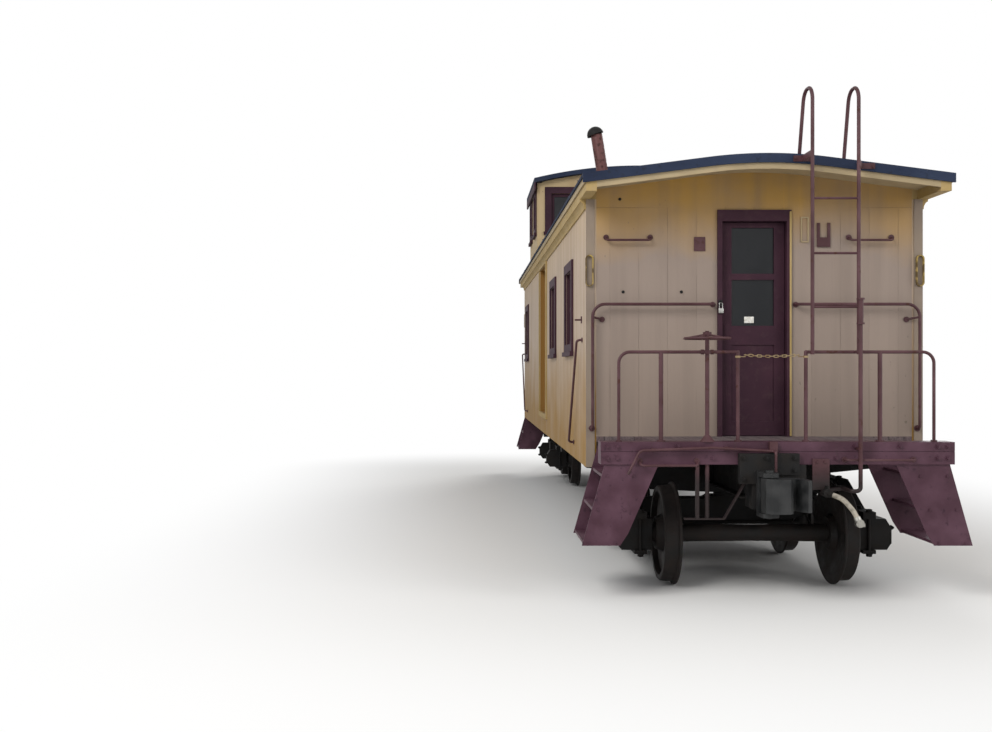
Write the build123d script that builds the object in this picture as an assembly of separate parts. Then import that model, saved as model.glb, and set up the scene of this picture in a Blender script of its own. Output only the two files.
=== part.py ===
from build123d import *
import math
import os

# A wooden cupola caboose on two arch-bar trucks. Millimetres, Z up, length along Y.
# The end with the air hose and the gate chain is at -Y. Z = 0 is the bottom of the flanges.

os.makedirs("parts", exist_ok=True)

# Clearances
SEAT = 0.3              # between two pieces that lie on each other
RUNNING = 0.1           # radial, between a journal or pin and its bearing
SWING = 6.0             # between a moving piece and what it passes
LATCH_GAP = 9.5         # beside the free edge of an end door, whose outer corner swings wide
PAST = 1.0              # how far a cutting tool reaches past what it cuts

# Wheels and axles
FLANGE = 28.0
RAIL = FLANGE           # height of the railhead, with the flanges hanging beside it
TREAD_R = 419.0
TREAD_IN = 708.0        # from the centre line to the flange root
TREAD_TAPER = 7.0
FLANGE_T = 24.0
RIM_IN = 680.0
RIM_OUT = 822.0
RIM_DEPTH = 58.0
RIM_EDGE = 10.0
WEB_DISH = 24.0
WEB_HOLLOW = 48.0       # how far the outside of the web lies inside the rim's outer face
AXLE_Z = RAIL + TREAD_R
AXLE_R = 78.0
AXLE_WAIST = 6.0
HUB_R = 140.0
HUB_IN = 655.0
HUB_OUT = 850.0
HUB_FLARE = 26.0
JOURNAL_R = 65.0
JOURNAL_END = 1120.0

# Body
BODY_L = 10360.0
BODY_W = 2920.0
WALL = 90.0
SIDE_BOTTOM = RAIL + 1002.0
FLOOR_TOP = RAIL + 1267.0
FLOOR_T = 45.0
SIDE_SILL_W = 118.0
CORNER_W = 75.0
CORNER_T = 12.0

# Trucks
TRUCK_INSET = 940.0     # from the end wall to the centre pin
WHEELBASE = 1676.0
FRAME_X = 990.0         # centre of a side frame and of its journals
BAR_W = 110.0
BAR_T = 30.0
BAR_LAP = 32.0          # how far the bars reach past a journal box
BAR_FLAT = 250.0        # half the level stretch in the middle of the top bar
BOX_IN = 885.0
BOX_OUT = 1190.0
BOX_W = 220.0
BOX_H = 270.0
BOX_BOLT_D = 28.0
BOX_BOLT_END = 26.0
COLUMN_W = 100.0
COLUMN_T = 60.0
CENTRE_PLATE_Z = RAIL + 660.0
CENTRE_PLATE_R = 150.0
CENTRE_PLATE_T = 40.0
BOLSTER_W = 260.0
BOLSTER_H = 180.0
TOP_BAR_Z = RAIL + 800.0
SPRING_R = 62.0
SPRING_Y = 64.0
SPRING_COILS = 6
SPRING_GROOVE = 12.0
SHOE_GAP = 12.0
SHOE_T = 40.0
SHOE_W = 90.0
SHOE_X = 765.0
BEAM_D = 50.0
BEAM_DROP = 60.0        # from the axle down to the brake beam

# Roof
ROOF_EAVE = 77.5        # how far the roof reaches past the side wall
ROOF_TOP = RAIL + 3634.0
ROOF_CROWN_R = 3900.0   # the middle of the roof is an arc, and straight slopes go on from it
ROOF_SLOPE = math.radians(7.3)
ROOF_OVERHANG = 510.0
COVER_T = 25.0
COVER_LAP = 14.0
ROOF_T = 76.0           # covering and boards together
END_TRIM_T = 20.0
END_BOARD_H = 50.0
END_BOARD_T = 25.0
EAVE_BOARD_H = 44.0
EAVE_SETBACK = 27.5     # from the roof's edge to the face of the eave board
EAVE_BRACKET_W = 90.0
CROWN_H = 84.0
CROWN_LIP = 12.5
CROWN_FILLET = 6.0
CROWN_SHOULDER = 18.0
CROWN_R = 80.0

# End doors
DOOR_W = 560.0
DOOR_H = 1868.0
DOOR_T = 40.0
DOOR_INSET = 44.0
DOOR_GLASS_W = 370.0
DOOR_GLASS_TOP = 1817.0
DOOR_GLASS_BOTTOM = 963.0
DOOR_RAIL_Z = 1390.0    # middle of the rail between the two panes
DOOR_RAIL_H = 54.0
DOOR_PANEL_TOP = 796.0
DOOR_PANEL_BOTTOM = 130.0
PANEL_DEPTH = 10.0
JAMB_T = 12.0
DOOR_CASING_W = 41.0
DOOR_CASING_HEAD = 98.0
CASING_T = 20.0
GLASS_T = 5.0
HINGE_OUT = 18.5        # from the inner face of the end wall to the hinge pins
HINGE_PIN_R = 6.0
HINGE_EYE_R = 13.0
HINGE_EYE_H = 44.0
HINGE_LEAF_L = 160.0
HINGE_LEAF_T = 6.0
HINGES_Z = (330.0, 1500.0)

# Side doors
SIDE_DOOR_Y = 270.0
SIDE_DOOR_W = 1220.0
SIDE_DOOR_H = 1950.0
SIDE_DOOR_T = 35.0
SIDE_DOOR_LAP = 30.0
SIDE_DOOR_TRAVEL = 1240.0
SIDE_CASING_W = 80.0
SIDE_CASING_FOOT = 60.0
TRACK_H = 45.0
TRACK_T = 10.0
HANGER_T = 8.0
HANGER_W = 60.0
HANGER_INSET = 150.0

# Windows
WINDOW_W = 860.0        # over the casing
WINDOW_H = 913.0
WINDOW_SILL_Z = FLOOR_TOP + 736.0
CASING_W = 95.0
SASH_W = 45.0
SASH_T = 36.0
SASH_INSET = 30.0
SILL_OUT = 38.0
SILL_EAR = 20.0
SILL_H = 44.0

# Cupola
CUPOLA_Y = 2470.0
CUPOLA_L = 1800.0
CUPOLA_WALL = 70.0
CUPOLA_TOP = ROOF_TOP + 926.0
CUPOLA_ROOF_RISE = 180.0
CUPOLA_ROOF_T = 62.0
CUPOLA_EAVE = 50.0
CUPOLA_OVERHANG = 130.0
CUPOLA_WINDOW_W = 520.0
CUPOLA_WINDOW_H = 670.0
CUPOLA_WINDOW_Z = ROOF_TOP + 196.0
CUPOLA_FASCIA_H = 120.0
CUPOLA_FASCIA_T = 22.0

# End platforms
PLATFORM_L = 760.0      # end wall to the face of the end sill
PLATFORM_W = 1950.0
END_SILL_W = 2840.0
END_SILL_H = 180.0
END_SILL_T = 190.0
SILL_GROOVE = 5.0       # between the sill's two timbers, seen on its face
SILL_GROOVE_UP = 104.0  # from the sill's bottom up to that groove

# Underframe
CENTRE_SILL_X = 165.0
CENTRE_SILL_FLANGE = 85.0
CENTRE_SILL_H = 430.0
CENTRE_SILL_WEB = 14.0
BODY_BOLSTER_L = 260.0
CROSSBEARER_Y = 1500.0
CROSSBEARER_L = 120.0
CROSSBEARER_H = 130.0

# Strikers: a casting under each end sill with two nose plates that stand up before it
STRIKER_X = 215.0
STRIKER_OUT = 44.0
STRIKER_LOW = 130.0     # from the coupler's middle down to the casting's foot
NOSE_OUT = 62.0
NOSE_TOP = 91.0         # above the bottom of the end sill
NOSES = (((-321.0, -29.0), 150.0), ((-25.0, 157.0), 79.0))     # width across, drop below the sill

# Steps
STEP_PLATE_T = 10.0
STEP_TREADS = 3
STEP_TREAD_T = 24.0
STEP_TREAD_W = 290.0
STEP_TOP_IN = 953.0
STEP_TOP_OUT = 1387.0
STEP_BOTTOM_IN = 1262.0
STEP_BOTTOM_OUT = 1570.0
STEP_BOTTOM_Z = RAIL + 433.0
STEP_CORNER = (65.0, 100.0)     # cut off the foot of each plate, across and up
STEP_INSET = 15.0

# Railings
RAIL_Z = FLOOR_TOP + 723.0
RAIL_D = 26.0
POST_D = 36.0
POST_INSET = 45.0
POST_FOOT_T = 12.0
RAIL_BEND = 90.0
RAIL_END_X = 1270.0
GATE_POST_D = 30.0
POSTS_X = (-930.0, 835.0)
GATE_X = (-310.0, 238.0)

# Brake staffs
STAFF_X = -557.0
STAFF_D = 34.0
STAFF_HEAD = 60.0
BRAKE_WHEEL_R = 190.0
BRAKE_WHEEL_Z = RAIL_Z + 110.0
BRAKE_RIM_D = 20.0
BRAKE_SPOKES = 5
BRAKE_SPOKE_D = 15.0
BRAKE_DISH = 34.0       # how far the hub stands above the rim
STIRRUP_Z = RAIL + 652.0
STIRRUP_T = 12.0
STIRRUP_W = 50.0

# Ladders over the roof's ends, and the back-up air pipe beside them
LADDER_X = (270.0, 640.0)
LADDER_FEET = ((195.0, 352.0), (747.0, 867.0))      # plates on the roof's end, across the car
LADDER_D = 30.0
RUNG_D = 20.0
RUNG_DROPS = (414.0, 854.0, 1284.0)     # from the roof's top down to each rung
LADDER_OUT = 26.0       # from the end sill face to the ladder's middle plane
LADDER_BACK = 365.0     # from the front legs to the rear legs on the roof
LADDER_TOP = ROOF_TOP + 491.0
LADDER_BEND = 115.0     # of the hoops over the roof
BACKUP_X = 634.0
BACKUP_OUT = 87.0       # from the end sill face to the pipe's middle
BACKUP_D = 33.0
BACKUP_TOP = FLOOR_TOP + 1144.0
BACKUP_VALVE_L = 196.0
BACKUP_VALVE_D = 44.0
BACKUP_FLANGE_D = 64.0
BACKUP_STEP = 70.0

# Couplers
COUPLER_Z = RAIL + 862.0
COUPLER_OUT = 345.0     # end sill face to the outermost point of the knuckle
SHANK_W = 130.0
SHANK_H = 150.0
HEAD_H = 250.0
KNUCKLE_H = 270.0
KNUCKLE_HUB_R = 62.0
LUG_T = 34.0
PIN_R = 21.0
PIN_X = -120.0
PIN_OUT = 195.0

# Air brake
PIPE_D = 42.0
PIPE_X = 373.0
PIPE_Z = RAIL + 865.0
PIPE_CROSS_Y = 700.0
PIPE_END = 30.0         # how far the brake pipe reaches past the end sill
COCK_D = 68.0
COCK_L = 60.0
HOSE_D = 40.0

# Lengths that follow from the ones above
HALF_L = BODY_L / 2
HALF_W = BODY_W / 2
TRUCK_Y = HALF_L - TRUCK_INSET
SILL_FACE = HALF_L + PLATFORM_L
ROOF_W = BODY_W + 2 * ROOF_EAVE
ROOF_END = HALF_L + ROOF_OVERHANG
EAVE_BOARD_Z = ROOF_TOP - 309.0
EAVE_BOARD_OUT = ROOF_EAVE - EAVE_SETBACK
FRAME_TOP = FLOOR_TOP - FLOOR_T - SEAT
END_SILL_BOTTOM = FLOOR_TOP - END_SILL_H
LADDER_Y = SILL_FACE + LADDER_OUT
POST_Y = SILL_FACE - POST_INSET
CABIN_OUT = HALF_W - WALL - SEAT        # what stands between the side walls reaches out to here


def block(x, y, z):
    """A box from its lowest and highest value along each axis."""
    size = (x[1] - x[0], y[1] - y[0], z[1] - z[0])
    middle = (sum(x) / 2, sum(y) / 2, sum(z) / 2)
    return Pos(*middle) * Box(*size)


def around(middle, width):
    """The lowest and highest value of a width set about its middle."""
    return (middle - width / 2, middle + width / 2)


def rod(start, end, diameter):
    """A straight round bar between two points."""
    span = Vector(*end) - Vector(*start)
    return Solid.make_cylinder(diameter / 2, span.length, Plane(origin=start, z_dir=span))


def disc(x, y, z, diameter, thickness, turn=(0, 0, 0)):
    """A round plate about its own middle, upright along Z until it is turned."""
    return Pos(x, y, z) * Rot(*turn) * Cylinder(diameter / 2, thickness)


def bent_pipe(points, diameter, radii):
    """A round pipe along straight runs joined by arcs."""
    path = FilletPolyline(*points, radius=radii)
    return sweep(Plane(origin=path @ 0, z_dir=path % 0) * Circle(diameter / 2), path=path)


def plate(points, thickness, plane):
    """A flat plate cut to an outline on a plane."""
    return extrude(plane * make_face(Polyline(*points, close=True)), amount=thickness)


def across_plate(points, y, thickness):
    """A plate across the car, its outline as (across, height), from y towards -Y."""
    return plate(points, thickness, Plane(origin=(0, y, 0), x_dir=(1, 0, 0), z_dir=(0, -1, 0)))


def across(shape):
    """The same piece on the other side of the car."""
    return mirror(shape, Plane.YZ)


def other_end(shape):
    """The same piece at the other end, turned about the middle of the car."""
    return shape.rotate(Axis.Z, 180)


def both_ends(shapes):
    return list(shapes) + [other_end(s) for s in shapes]


def save(name, shapes):
    solids = [solid for shape in shapes for solid in shape.solids()]
    export_step(Compound(children=solids), f"parts/{name}.step")


def roof_height(x, depth=0.0):
    """The height of the main roof at a distance from the middle, on or under its top."""
    centre = ROOF_TOP - ROOF_CROWN_R
    radius = ROOF_CROWN_R - depth
    if abs(x) < radius * math.sin(ROOF_SLOPE):
        return centre + math.sqrt(radius ** 2 - x ** 2)
    return centre + (radius - abs(x) * math.sin(ROOF_SLOPE)) / math.cos(ROOF_SLOPE)


def under_roof(depth, half_length, half_width):
    """All that lies under the main roof at a depth below its top, down to the body's foot."""
    crown = (ROOF_CROWN_R - depth) * math.sin(ROOF_SLOPE)
    left, middle, right = [(x, roof_height(x, depth)) for x in (-crown, 0, crown)]
    outline = Polyline(left, (-half_width, roof_height(half_width, depth)), (-half_width, SIDE_BOTTOM),
                       (half_width, SIDE_BOTTOM), (half_width, roof_height(half_width, depth)), right)
    outline += ThreePointArc(right, middle, left)
    profile = Plane(origin=(0, half_length, 0), x_dir=(1, 0, 0), z_dir=(0, -1, 0)) * make_face(outline)
    return extrude(profile, amount=2 * half_length)


# Underframe
def centre_sill():
    x = CENTRE_SILL_X
    half = SILL_FACE - END_SILL_T - SEAT
    low = FRAME_TOP - CENTRE_SILL_H
    beam = block((x, x + CENTRE_SILL_FLANGE), (-half, half), (low, FRAME_TOP))
    hollow = block((x + CENTRE_SILL_WEB, x + CENTRE_SILL_FLANGE + PAST), (-half - PAST, half + PAST),
                   (low + CENTRE_SILL_WEB, FRAME_TOP - CENTRE_SILL_WEB))
    return beam - hollow


def body_bolster(y):
    """The beam over a truck, tapered towards the sides, with its half of the centre plate."""
    low = CENTRE_PLATE_Z + CENTRE_PLATE_T
    over_bars = TOP_BAR_Z + BAR_T + 45
    tip_h = 50
    belly_x = 230
    top = SIDE_BOTTOM - SEAT
    half = [(0, top), (CABIN_OUT, top), (CABIN_OUT, over_bars + tip_h), (FRAME_X - BAR_W, over_bars),
            (FRAME_X - 2 * BAR_W, low + tip_h / 2), (belly_x, low), (0, low)]
    side = across_plate(half, y + BODY_BOLSTER_L / 2, BODY_BOLSTER_L)
    centre = disc(0, y, (CENTRE_PLATE_Z + SEAT + low) / 2, 2 * CENTRE_PLATE_R, CENTRE_PLATE_T - SEAT)
    return side + across(side) + centre


def train_pipe(diameter):
    """The brake pipe, which changes sides under the middle of the car."""
    end = SILL_FACE + PIPE_END
    points = [(PIPE_X, -end, PIPE_Z), (PIPE_X, -PIPE_CROSS_Y, PIPE_Z),
              (-PIPE_X, PIPE_CROSS_Y, PIPE_Z), (-PIPE_X, end, PIPE_Z)]
    return bent_pipe(points, diameter, 150)


def underframe():
    frame = centre_sill() + across(centre_sill())
    for y in (-TRUCK_Y, TRUCK_Y):
        frame += body_bolster(y)
    for y in (-CROSSBEARER_Y, CROSSBEARER_Y):
        frame += block((-CABIN_OUT, CABIN_OUT), around(y, CROSSBEARER_L),
                       (SIDE_BOTTOM - CROSSBEARER_H, SIDE_BOTTOM - SEAT))
    return frame - train_pipe(PIPE_D + 2 * SEAT)


def side_sill():
    return block((CABIN_OUT - SIDE_SILL_W, CABIN_OUT), (-HALF_L, HALF_L), (SIDE_BOTTOM, FRAME_TOP))


def end_sill():
    """The timber across the end, flush with the deck, bored for the brake staff."""
    half = END_SILL_W / 2
    beam = block((-half, half), (-SILL_FACE, -SILL_FACE + END_SILL_T), (END_SILL_BOTTOM, FLOOR_TOP))
    beam -= block((-half - PAST, half + PAST), (-SILL_FACE - PAST, -SILL_FACE + SILL_GROOVE),
                  around(END_SILL_BOTTOM + SILL_GROOVE_UP, SILL_GROOVE))
    return beam - rod((STAFF_X, -POST_Y, END_SILL_BOTTOM - PAST), (STAFF_X, -POST_Y, FLOOR_TOP + PAST),
                      STAFF_D + 2 * SEAT)


def striker():
    """The casting under the end sill that the coupler shank passes through."""
    front = -SILL_FACE - STRIKER_OUT
    back = -SILL_FACE + END_SILL_T
    top = END_SILL_BOTTOM - SEAT
    room = 40
    lift = 30
    casting = block((-STRIKER_X, STRIKER_X), (front, back), (COUPLER_Z - STRIKER_LOW, top))
    casting -= block(around(0, SHANK_W + 2 * room), (front - PAST, back + PAST),
                     (COUPLER_Z - SHANK_H / 2 - SEAT, COUPLER_Z + SHANK_H / 2 + lift))
    for x, drop in NOSES:
        casting += block(x, (-SILL_FACE - NOSE_OUT, -SILL_FACE - SEAT),
                         (END_SILL_BOTTOM - drop, END_SILL_BOTTOM + NOSE_TOP))
    return casting


def cabin_floor():
    return block((-CABIN_OUT, CABIN_OUT), (-HALF_L, HALF_L), (FLOOR_TOP - FLOOR_T, FLOOR_TOP))


def platform_deck():
    """The boards between the end sill and the end wall."""
    return block(around(0, PLATFORM_W), (-SILL_FACE + END_SILL_T + SEAT, -HALF_L - SEAT),
                 (FLOOR_TOP - FLOOR_T, FLOOR_TOP))


# Steps: two slanted side plates carry the treads, each tread further out than the one above
def step_edge(z, top_x, bottom_x):
    top_z = END_SILL_BOTTOM - SEAT
    share = (top_z - z) / (top_z - STEP_BOTTOM_Z)
    return top_x + share * (bottom_x - top_x)


def step_set():
    rise = (FLOOR_TOP - STEP_BOTTOM_Z - STEP_TREAD_T) / STEP_TREADS
    first = 6
    lap = 12
    near_y = -SILL_FACE + STEP_INSET
    far_y = -HALF_L - CORNER_T - 2 * SEAT
    steps = []
    for y, top in ((near_y + STEP_PLATE_T, END_SILL_BOTTOM - SEAT), (far_y, FRAME_TOP)):
        outline = [(step_edge(top, STEP_TOP_IN, STEP_BOTTOM_IN), top),
                   (step_edge(top, STEP_TOP_OUT, STEP_BOTTOM_OUT), top),
                   (STEP_BOTTOM_OUT, STEP_BOTTOM_Z), (STEP_BOTTOM_IN, STEP_BOTTOM_Z),
                   (STEP_BOTTOM_IN - STEP_CORNER[0], STEP_BOTTOM_Z + STEP_CORNER[1])]
        steps.append(across_plate(outline, y, STEP_PLATE_T))
    stairs = steps[0] + steps[1]
    for step in range(STEP_TREADS):
        z = STEP_BOTTOM_Z + first + step * rise
        inner = step_edge(z, STEP_TOP_IN, STEP_BOTTOM_IN) + lap
        outer = step_edge(z, STEP_TOP_OUT, STEP_BOTTOM_OUT) - lap
        inner = max(inner, outer - STEP_TREAD_W)
        stairs += block((inner, outer), (near_y, far_y), (z, z + STEP_TREAD_T))
    return stairs


# Walls. Each window is (place along the wall, width and height over the casing, height of its sill).
SIDE_WINDOWS_Y = (-3595.0, -1520.0, 4170.0)
CUPOLA_SIDE_WINDOWS_Y = (CUPOLA_Y - 500.0, CUPOLA_Y + 500.0)
CUPOLA_END_WINDOWS_X = (-1090.0, 1090.0)


def window_hole(wide, high):
    """The hole in a wall, sized for a casing over its edges. It looks along Y, its sill at Z = 0."""
    inner_w = wide - 2 * CASING_W
    inner_h = high - 2 * CASING_W
    return Pos(0, 0, CASING_W + inner_h / 2) * Box(inner_w, 4 * WALL, inner_h)


def window_casing(wide, high):
    """The flat frame round a window with its sill, on a wall whose outer face is at Y = 0."""
    frame = block(around(0, wide), (-CASING_T - SEAT, -SEAT), (0, high))
    frame -= window_hole(wide, high)
    return frame + block(around(0, wide + 2 * SILL_EAR), (-SILL_OUT - SEAT, -SEAT), around(0, SILL_H))


def window_sash(wide, high, rail):
    """The sash in a window hole, with a rail across its middle where it has two panes."""
    half = wide / 2 - CASING_W - SEAT
    low = CASING_W + SEAT
    sash = block((-half, half), (SASH_INSET, SASH_INSET + SASH_T), (low, high - low))
    for z in pane_heights(high, rail):
        sash -= block((-half + SASH_W, half - SASH_W), (0, SASH_INSET + 2 * SASH_T), z)
    return sash


def pane_heights(high, rail):
    low = CASING_W + SEAT + SASH_W
    top = high - low
    if not rail:
        return [(low, top)]
    return [(low, (high - SASH_W) / 2), ((high + SASH_W) / 2, top)]


def window_panes(wide, high, rail):
    half = wide / 2 - CASING_W - SEAT - SASH_W - SEAT
    y = around(SASH_INSET + SASH_T / 2, GLASS_T)
    return [block((-half, half), y, (z[0] + SEAT, z[1] - SEAT)) for z in pane_heights(high, rail)]


def windows():
    """Every window: where it stands, turned to its wall, with its size and whether it has a rail."""
    places = []
    cupola = (CUPOLA_WINDOW_W, CUPOLA_WINDOW_H, False)
    for side, turn in ((-1, -90), (1, 90)):
        for y in SIDE_WINDOWS_Y:
            places.append((Pos(side * HALF_W, y, WINDOW_SILL_Z) * Rot(0, 0, turn), WINDOW_W, WINDOW_H, True))
        for y in CUPOLA_SIDE_WINDOWS_Y:
            places.append((Pos(side * HALF_W, y, CUPOLA_WINDOW_Z) * Rot(0, 0, turn), *cupola))
    for end, turn in ((-1, 0), (1, 180)):
        y = CUPOLA_Y + end * CUPOLA_L / 2
        for x in CUPOLA_END_WINDOWS_X:
            places.append((Pos(x, y, CUPOLA_WINDOW_Z) * Rot(0, 0, turn), *cupola))
    return places


def side_wall():
    """The right side wall. The left one is its mirror image."""
    wall = block((HALF_W - WALL, HALF_W), (-HALF_L, HALF_L), (SIDE_BOTTOM, EAVE_BOARD_Z - SEAT))
    for y in SIDE_WINDOWS_Y:
        wall -= Pos(HALF_W, y, WINDOW_SILL_Z) * Rot(0, 0, 90) * window_hole(WINDOW_W, WINDOW_H)
    return wall - block((HALF_W - WALL - PAST, HALF_W + PAST), around(SIDE_DOOR_Y, SIDE_DOOR_W),
                        (FLOOR_TOP, FLOOR_TOP + SIDE_DOOR_H))


def end_wall():
    wall = block((-CABIN_OUT, CABIN_OUT), (-HALF_L, -HALF_L + WALL), (FLOOR_TOP + SEAT, ROOF_TOP))
    wall &= under_roof(ROOF_T + SEAT, HALF_L, CABIN_OUT)
    return wall - block(around(0, DOOR_W + 2 * JAMB_T), (-HALF_L - PAST, -HALF_L + WALL + PAST),
                        (0, FLOOR_TOP + DOOR_H + JAMB_T))


def corner_board():
    return block((HALF_W - CORNER_W, HALF_W), (-HALF_L - SEAT - CORNER_T, -HALF_L - SEAT),
                 (SIDE_BOTTOM, EAVE_BOARD_Z - SEAT))


# Roof
def roof_covering():
    """The covering on the boards, with the trim that closes both ends of the roof."""
    whole = under_roof(0, ROOF_END, ROOF_W / 2)
    cover = whole - under_roof(COVER_T, ROOF_END + PAST, ROOF_W)
    trim = whole - under_roof(ROOF_T, ROOF_END + PAST, ROOF_W)
    for end in (-1, 1):
        y = sorted((end * ROOF_END, end * (ROOF_END - END_TRIM_T)))
        cover += trim & block((-ROOF_W, ROOF_W), y, (0, ROOF_TOP + PAST))
    return cover - cupola_hole() - smoke_pipe_hole()


def roof_boards():
    half = ROOF_END - END_TRIM_T - SEAT
    edge = ROOF_W / 2 - COVER_LAP
    boards = under_roof(COVER_T + SEAT, half, edge) - under_roof(ROOF_T, half + PAST, ROOF_W)
    rafter = under_roof(ROOF_T, half, edge) - under_roof(ROOF_T + END_BOARD_H, half + PAST, ROOF_W)
    inner = HALF_W - EAVE_BRACKET_W + EAVE_BOARD_OUT - SEAT
    for end in (-1, 1):
        y = sorted((end * half, end * (half - END_BOARD_T)))
        boards += rafter & block((-inner, inner), y, (0, ROOF_TOP))
    return boards - cupola_hole() - smoke_pipe_hole()


def cupola_hole():
    return block(around(0, BODY_W + 2 * SEAT), around(CUPOLA_Y, CUPOLA_L + 2 * SEAT), (RAIL, CUPOLA_TOP))


def eave_moulding():
    """The board along the eave, with the hollow crown mould under it on the side wall."""
    out = HALF_W + EAVE_BOARD_OUT
    end = ROOF_END - END_TRIM_T - SEAT
    top = EAVE_BOARD_Z + 100
    board = block((out - EAVE_BRACKET_W, out), (-end, end), (EAVE_BOARD_Z, top))
    board += block((HALF_W - WALL, out), (-HALF_L, HALF_L), (EAVE_BOARD_Z, top))
    wall = HALF_W + SEAT
    low = EAVE_BOARD_Z - CROWN_H
    lap = EAVE_BOARD_Z + CROWN_FILLET
    lip = (wall + CROWN_LIP, low)
    shoulder = (out - CROWN_FILLET, EAVE_BOARD_Z - CROWN_SHOULDER)
    outline = Polyline((wall, lap), (wall, low), lip)
    outline += RadiusArc(lip, shoulder, CROWN_R)
    outline += Polyline(shoulder, (out, EAVE_BOARD_Z - CROWN_SHOULDER), (out, lap), (wall, lap))
    profile = Plane(origin=(0, HALF_L, 0), x_dir=(1, 0, 0), z_dir=(0, -1, 0)) * make_face(outline)
    board += extrude(profile, amount=BODY_L)
    board &= under_roof(ROOF_T + SEAT, ROOF_END, ROOF_W)
    return board - block((0, HALF_W + SEAT), around(CUPOLA_Y, CUPOLA_L + 2 * SEAT),
                         (EAVE_BOARD_Z + EAVE_BOARD_H / 2, top))


# Cupola. Its roof is a plain arc.
def arch(radius, half_length, half_width):
    """A solid cylinder segment under the cupola roof's curve."""
    axis = cupola_roof_axis()
    barrel = Pos(0, CUPOLA_Y, axis) * Rot(90, 0, 0) * Cylinder(radius, 2 * half_length)
    keep = block((-half_width, half_width), around(CUPOLA_Y, 2 * half_length),
                 (ROOF_TOP, axis + radius + PAST))
    return barrel & keep


def cupola_walls():
    low = EAVE_BOARD_Z + EAVE_BOARD_H / 2 + SEAT
    half = CUPOLA_L / 2
    hole = window_hole(CUPOLA_WINDOW_W, CUPOLA_WINDOW_H)
    walls = []
    side = block((HALF_W - CUPOLA_WALL, HALF_W), around(CUPOLA_Y, CUPOLA_L), (low, CUPOLA_TOP))
    for y in CUPOLA_SIDE_WINDOWS_Y:
        side -= Pos(HALF_W, y, CUPOLA_WINDOW_Z) * Rot(0, 0, 90) * hole
    inner = HALF_W - CUPOLA_WALL - SEAT
    for end in (-1, 1):
        y = sorted((CUPOLA_Y + end * half, CUPOLA_Y + end * (half - CUPOLA_WALL)))
        wall = block((-inner, inner), y, (low, CUPOLA_TOP + CUPOLA_ROOF_RISE))
        top = arch(cupola_roof_radius() - CUPOLA_ROOF_T - SEAT, half, inner)
        wall &= top + block((-inner, inner), y, (low, ROOF_TOP + PAST))
        for x in CUPOLA_END_WINDOWS_X:
            wall -= Pos(x, CUPOLA_Y + end * half, CUPOLA_WINDOW_Z) * hole
        walls.append(wall)
    return walls + [side, across(side)]


def cupola_roof_radius():
    half = HALF_W + CUPOLA_EAVE
    return (half ** 2 + CUPOLA_ROOF_RISE ** 2) / (2 * CUPOLA_ROOF_RISE)


def cupola_roof_axis():
    """Height of the axis of the cupola roof, whose underside meets the top of the side walls."""
    radius = cupola_roof_radius()
    reach = math.sqrt((radius - CUPOLA_ROOF_T) ** 2 - HALF_W ** 2)
    return CUPOLA_TOP + SEAT - reach


def cupola_roof():
    radius = cupola_roof_radius()
    half = CUPOLA_L / 2 + CUPOLA_OVERHANG
    return arch(radius, half, HALF_W + CUPOLA_EAVE) - arch(radius - CUPOLA_ROOF_T, half + PAST, ROOF_W)


def cupola_fascia():
    """The board that hangs along the edge of the cupola's eave, cut to the roof's underside."""
    out = HALF_W + CUPOLA_EAVE
    length = CUPOLA_L + 2 * CUPOLA_OVERHANG
    board = block((out - CUPOLA_FASCIA_T, out), around(CUPOLA_Y, length),
                  (CUPOLA_TOP - CUPOLA_FASCIA_H, CUPOLA_TOP + CUPOLA_FASCIA_T))
    return board & arch(cupola_roof_radius() - CUPOLA_ROOF_T - SEAT, length / 2, ROOF_W)


# End doors
def door_casing():
    """The flat frame round the doorway, with the boards that line its reveals."""
    face = -HALF_L - SEAT
    top = FLOOR_TOP + DOOR_H
    frame = block(around(0, DOOR_W + 2 * DOOR_CASING_W), (face - CASING_T, face),
                  (FLOOR_TOP + SEAT, top + DOOR_CASING_HEAD))
    frame += block(around(0, DOOR_W + 2 * JAMB_T - 2 * SEAT), (face, -HALF_L + WALL),
                   (FLOOR_TOP + SEAT, top + JAMB_T - SEAT))
    return frame - block(around(0, DOOR_W), (face - CASING_T - PAST, -HALF_L + WALL + PAST), (0, top))


def hinge_pin():
    """Where the pins of the photographed end's door stand, seen from above."""
    return (DOOR_W / 2, -HALF_L + WALL + HINGE_OUT)


def end_door():
    """A leaf with two panes over a sunk panel, on two hinge straps. It opens inwards."""
    x = (-DOOR_W / 2 + LATCH_GAP, DOOR_W / 2 - SWING)
    y = (-HALF_L + DOOR_INSET, -HALF_L + DOOR_INSET + DOOR_T)
    leaf = block(x, y, (FLOOR_TOP + SWING, FLOOR_TOP + DOOR_H - SWING))
    hollow = around(0, DOOR_GLASS_W)
    for z in door_pane_heights():
        leaf -= block(hollow, (y[0] - PAST, y[1] + PAST), z)
    panel = (FLOOR_TOP + DOOR_PANEL_BOTTOM, FLOOR_TOP + DOOR_PANEL_TOP)
    leaf -= block(hollow, (y[0] - PAST, y[0] + PANEL_DEPTH), panel)
    leaf -= block(hollow, (y[1] - PANEL_DEPTH, y[1] + PAST), panel)
    pin_x, pin_y = hinge_pin()
    for height in HINGES_Z:
        z = (FLOOR_TOP + height, FLOOR_TOP + height + HINGE_EYE_H)
        leaf += block((x[1] - HINGE_LEAF_L, x[1]), (y[1], y[1] + HINGE_LEAF_T), z)
        leaf += block((x[1] - HINGE_LEAF_L / 8, x[1]), (y[1], pin_y), z)
        leaf += rod((pin_x, pin_y, z[0]), (pin_x, pin_y, z[1]), 2 * HINGE_EYE_R)
        leaf -= rod((pin_x, pin_y, z[0] - PAST), (pin_x, pin_y, z[1] + PAST), 2 * (HINGE_PIN_R + RUNNING))
    return leaf


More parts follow.
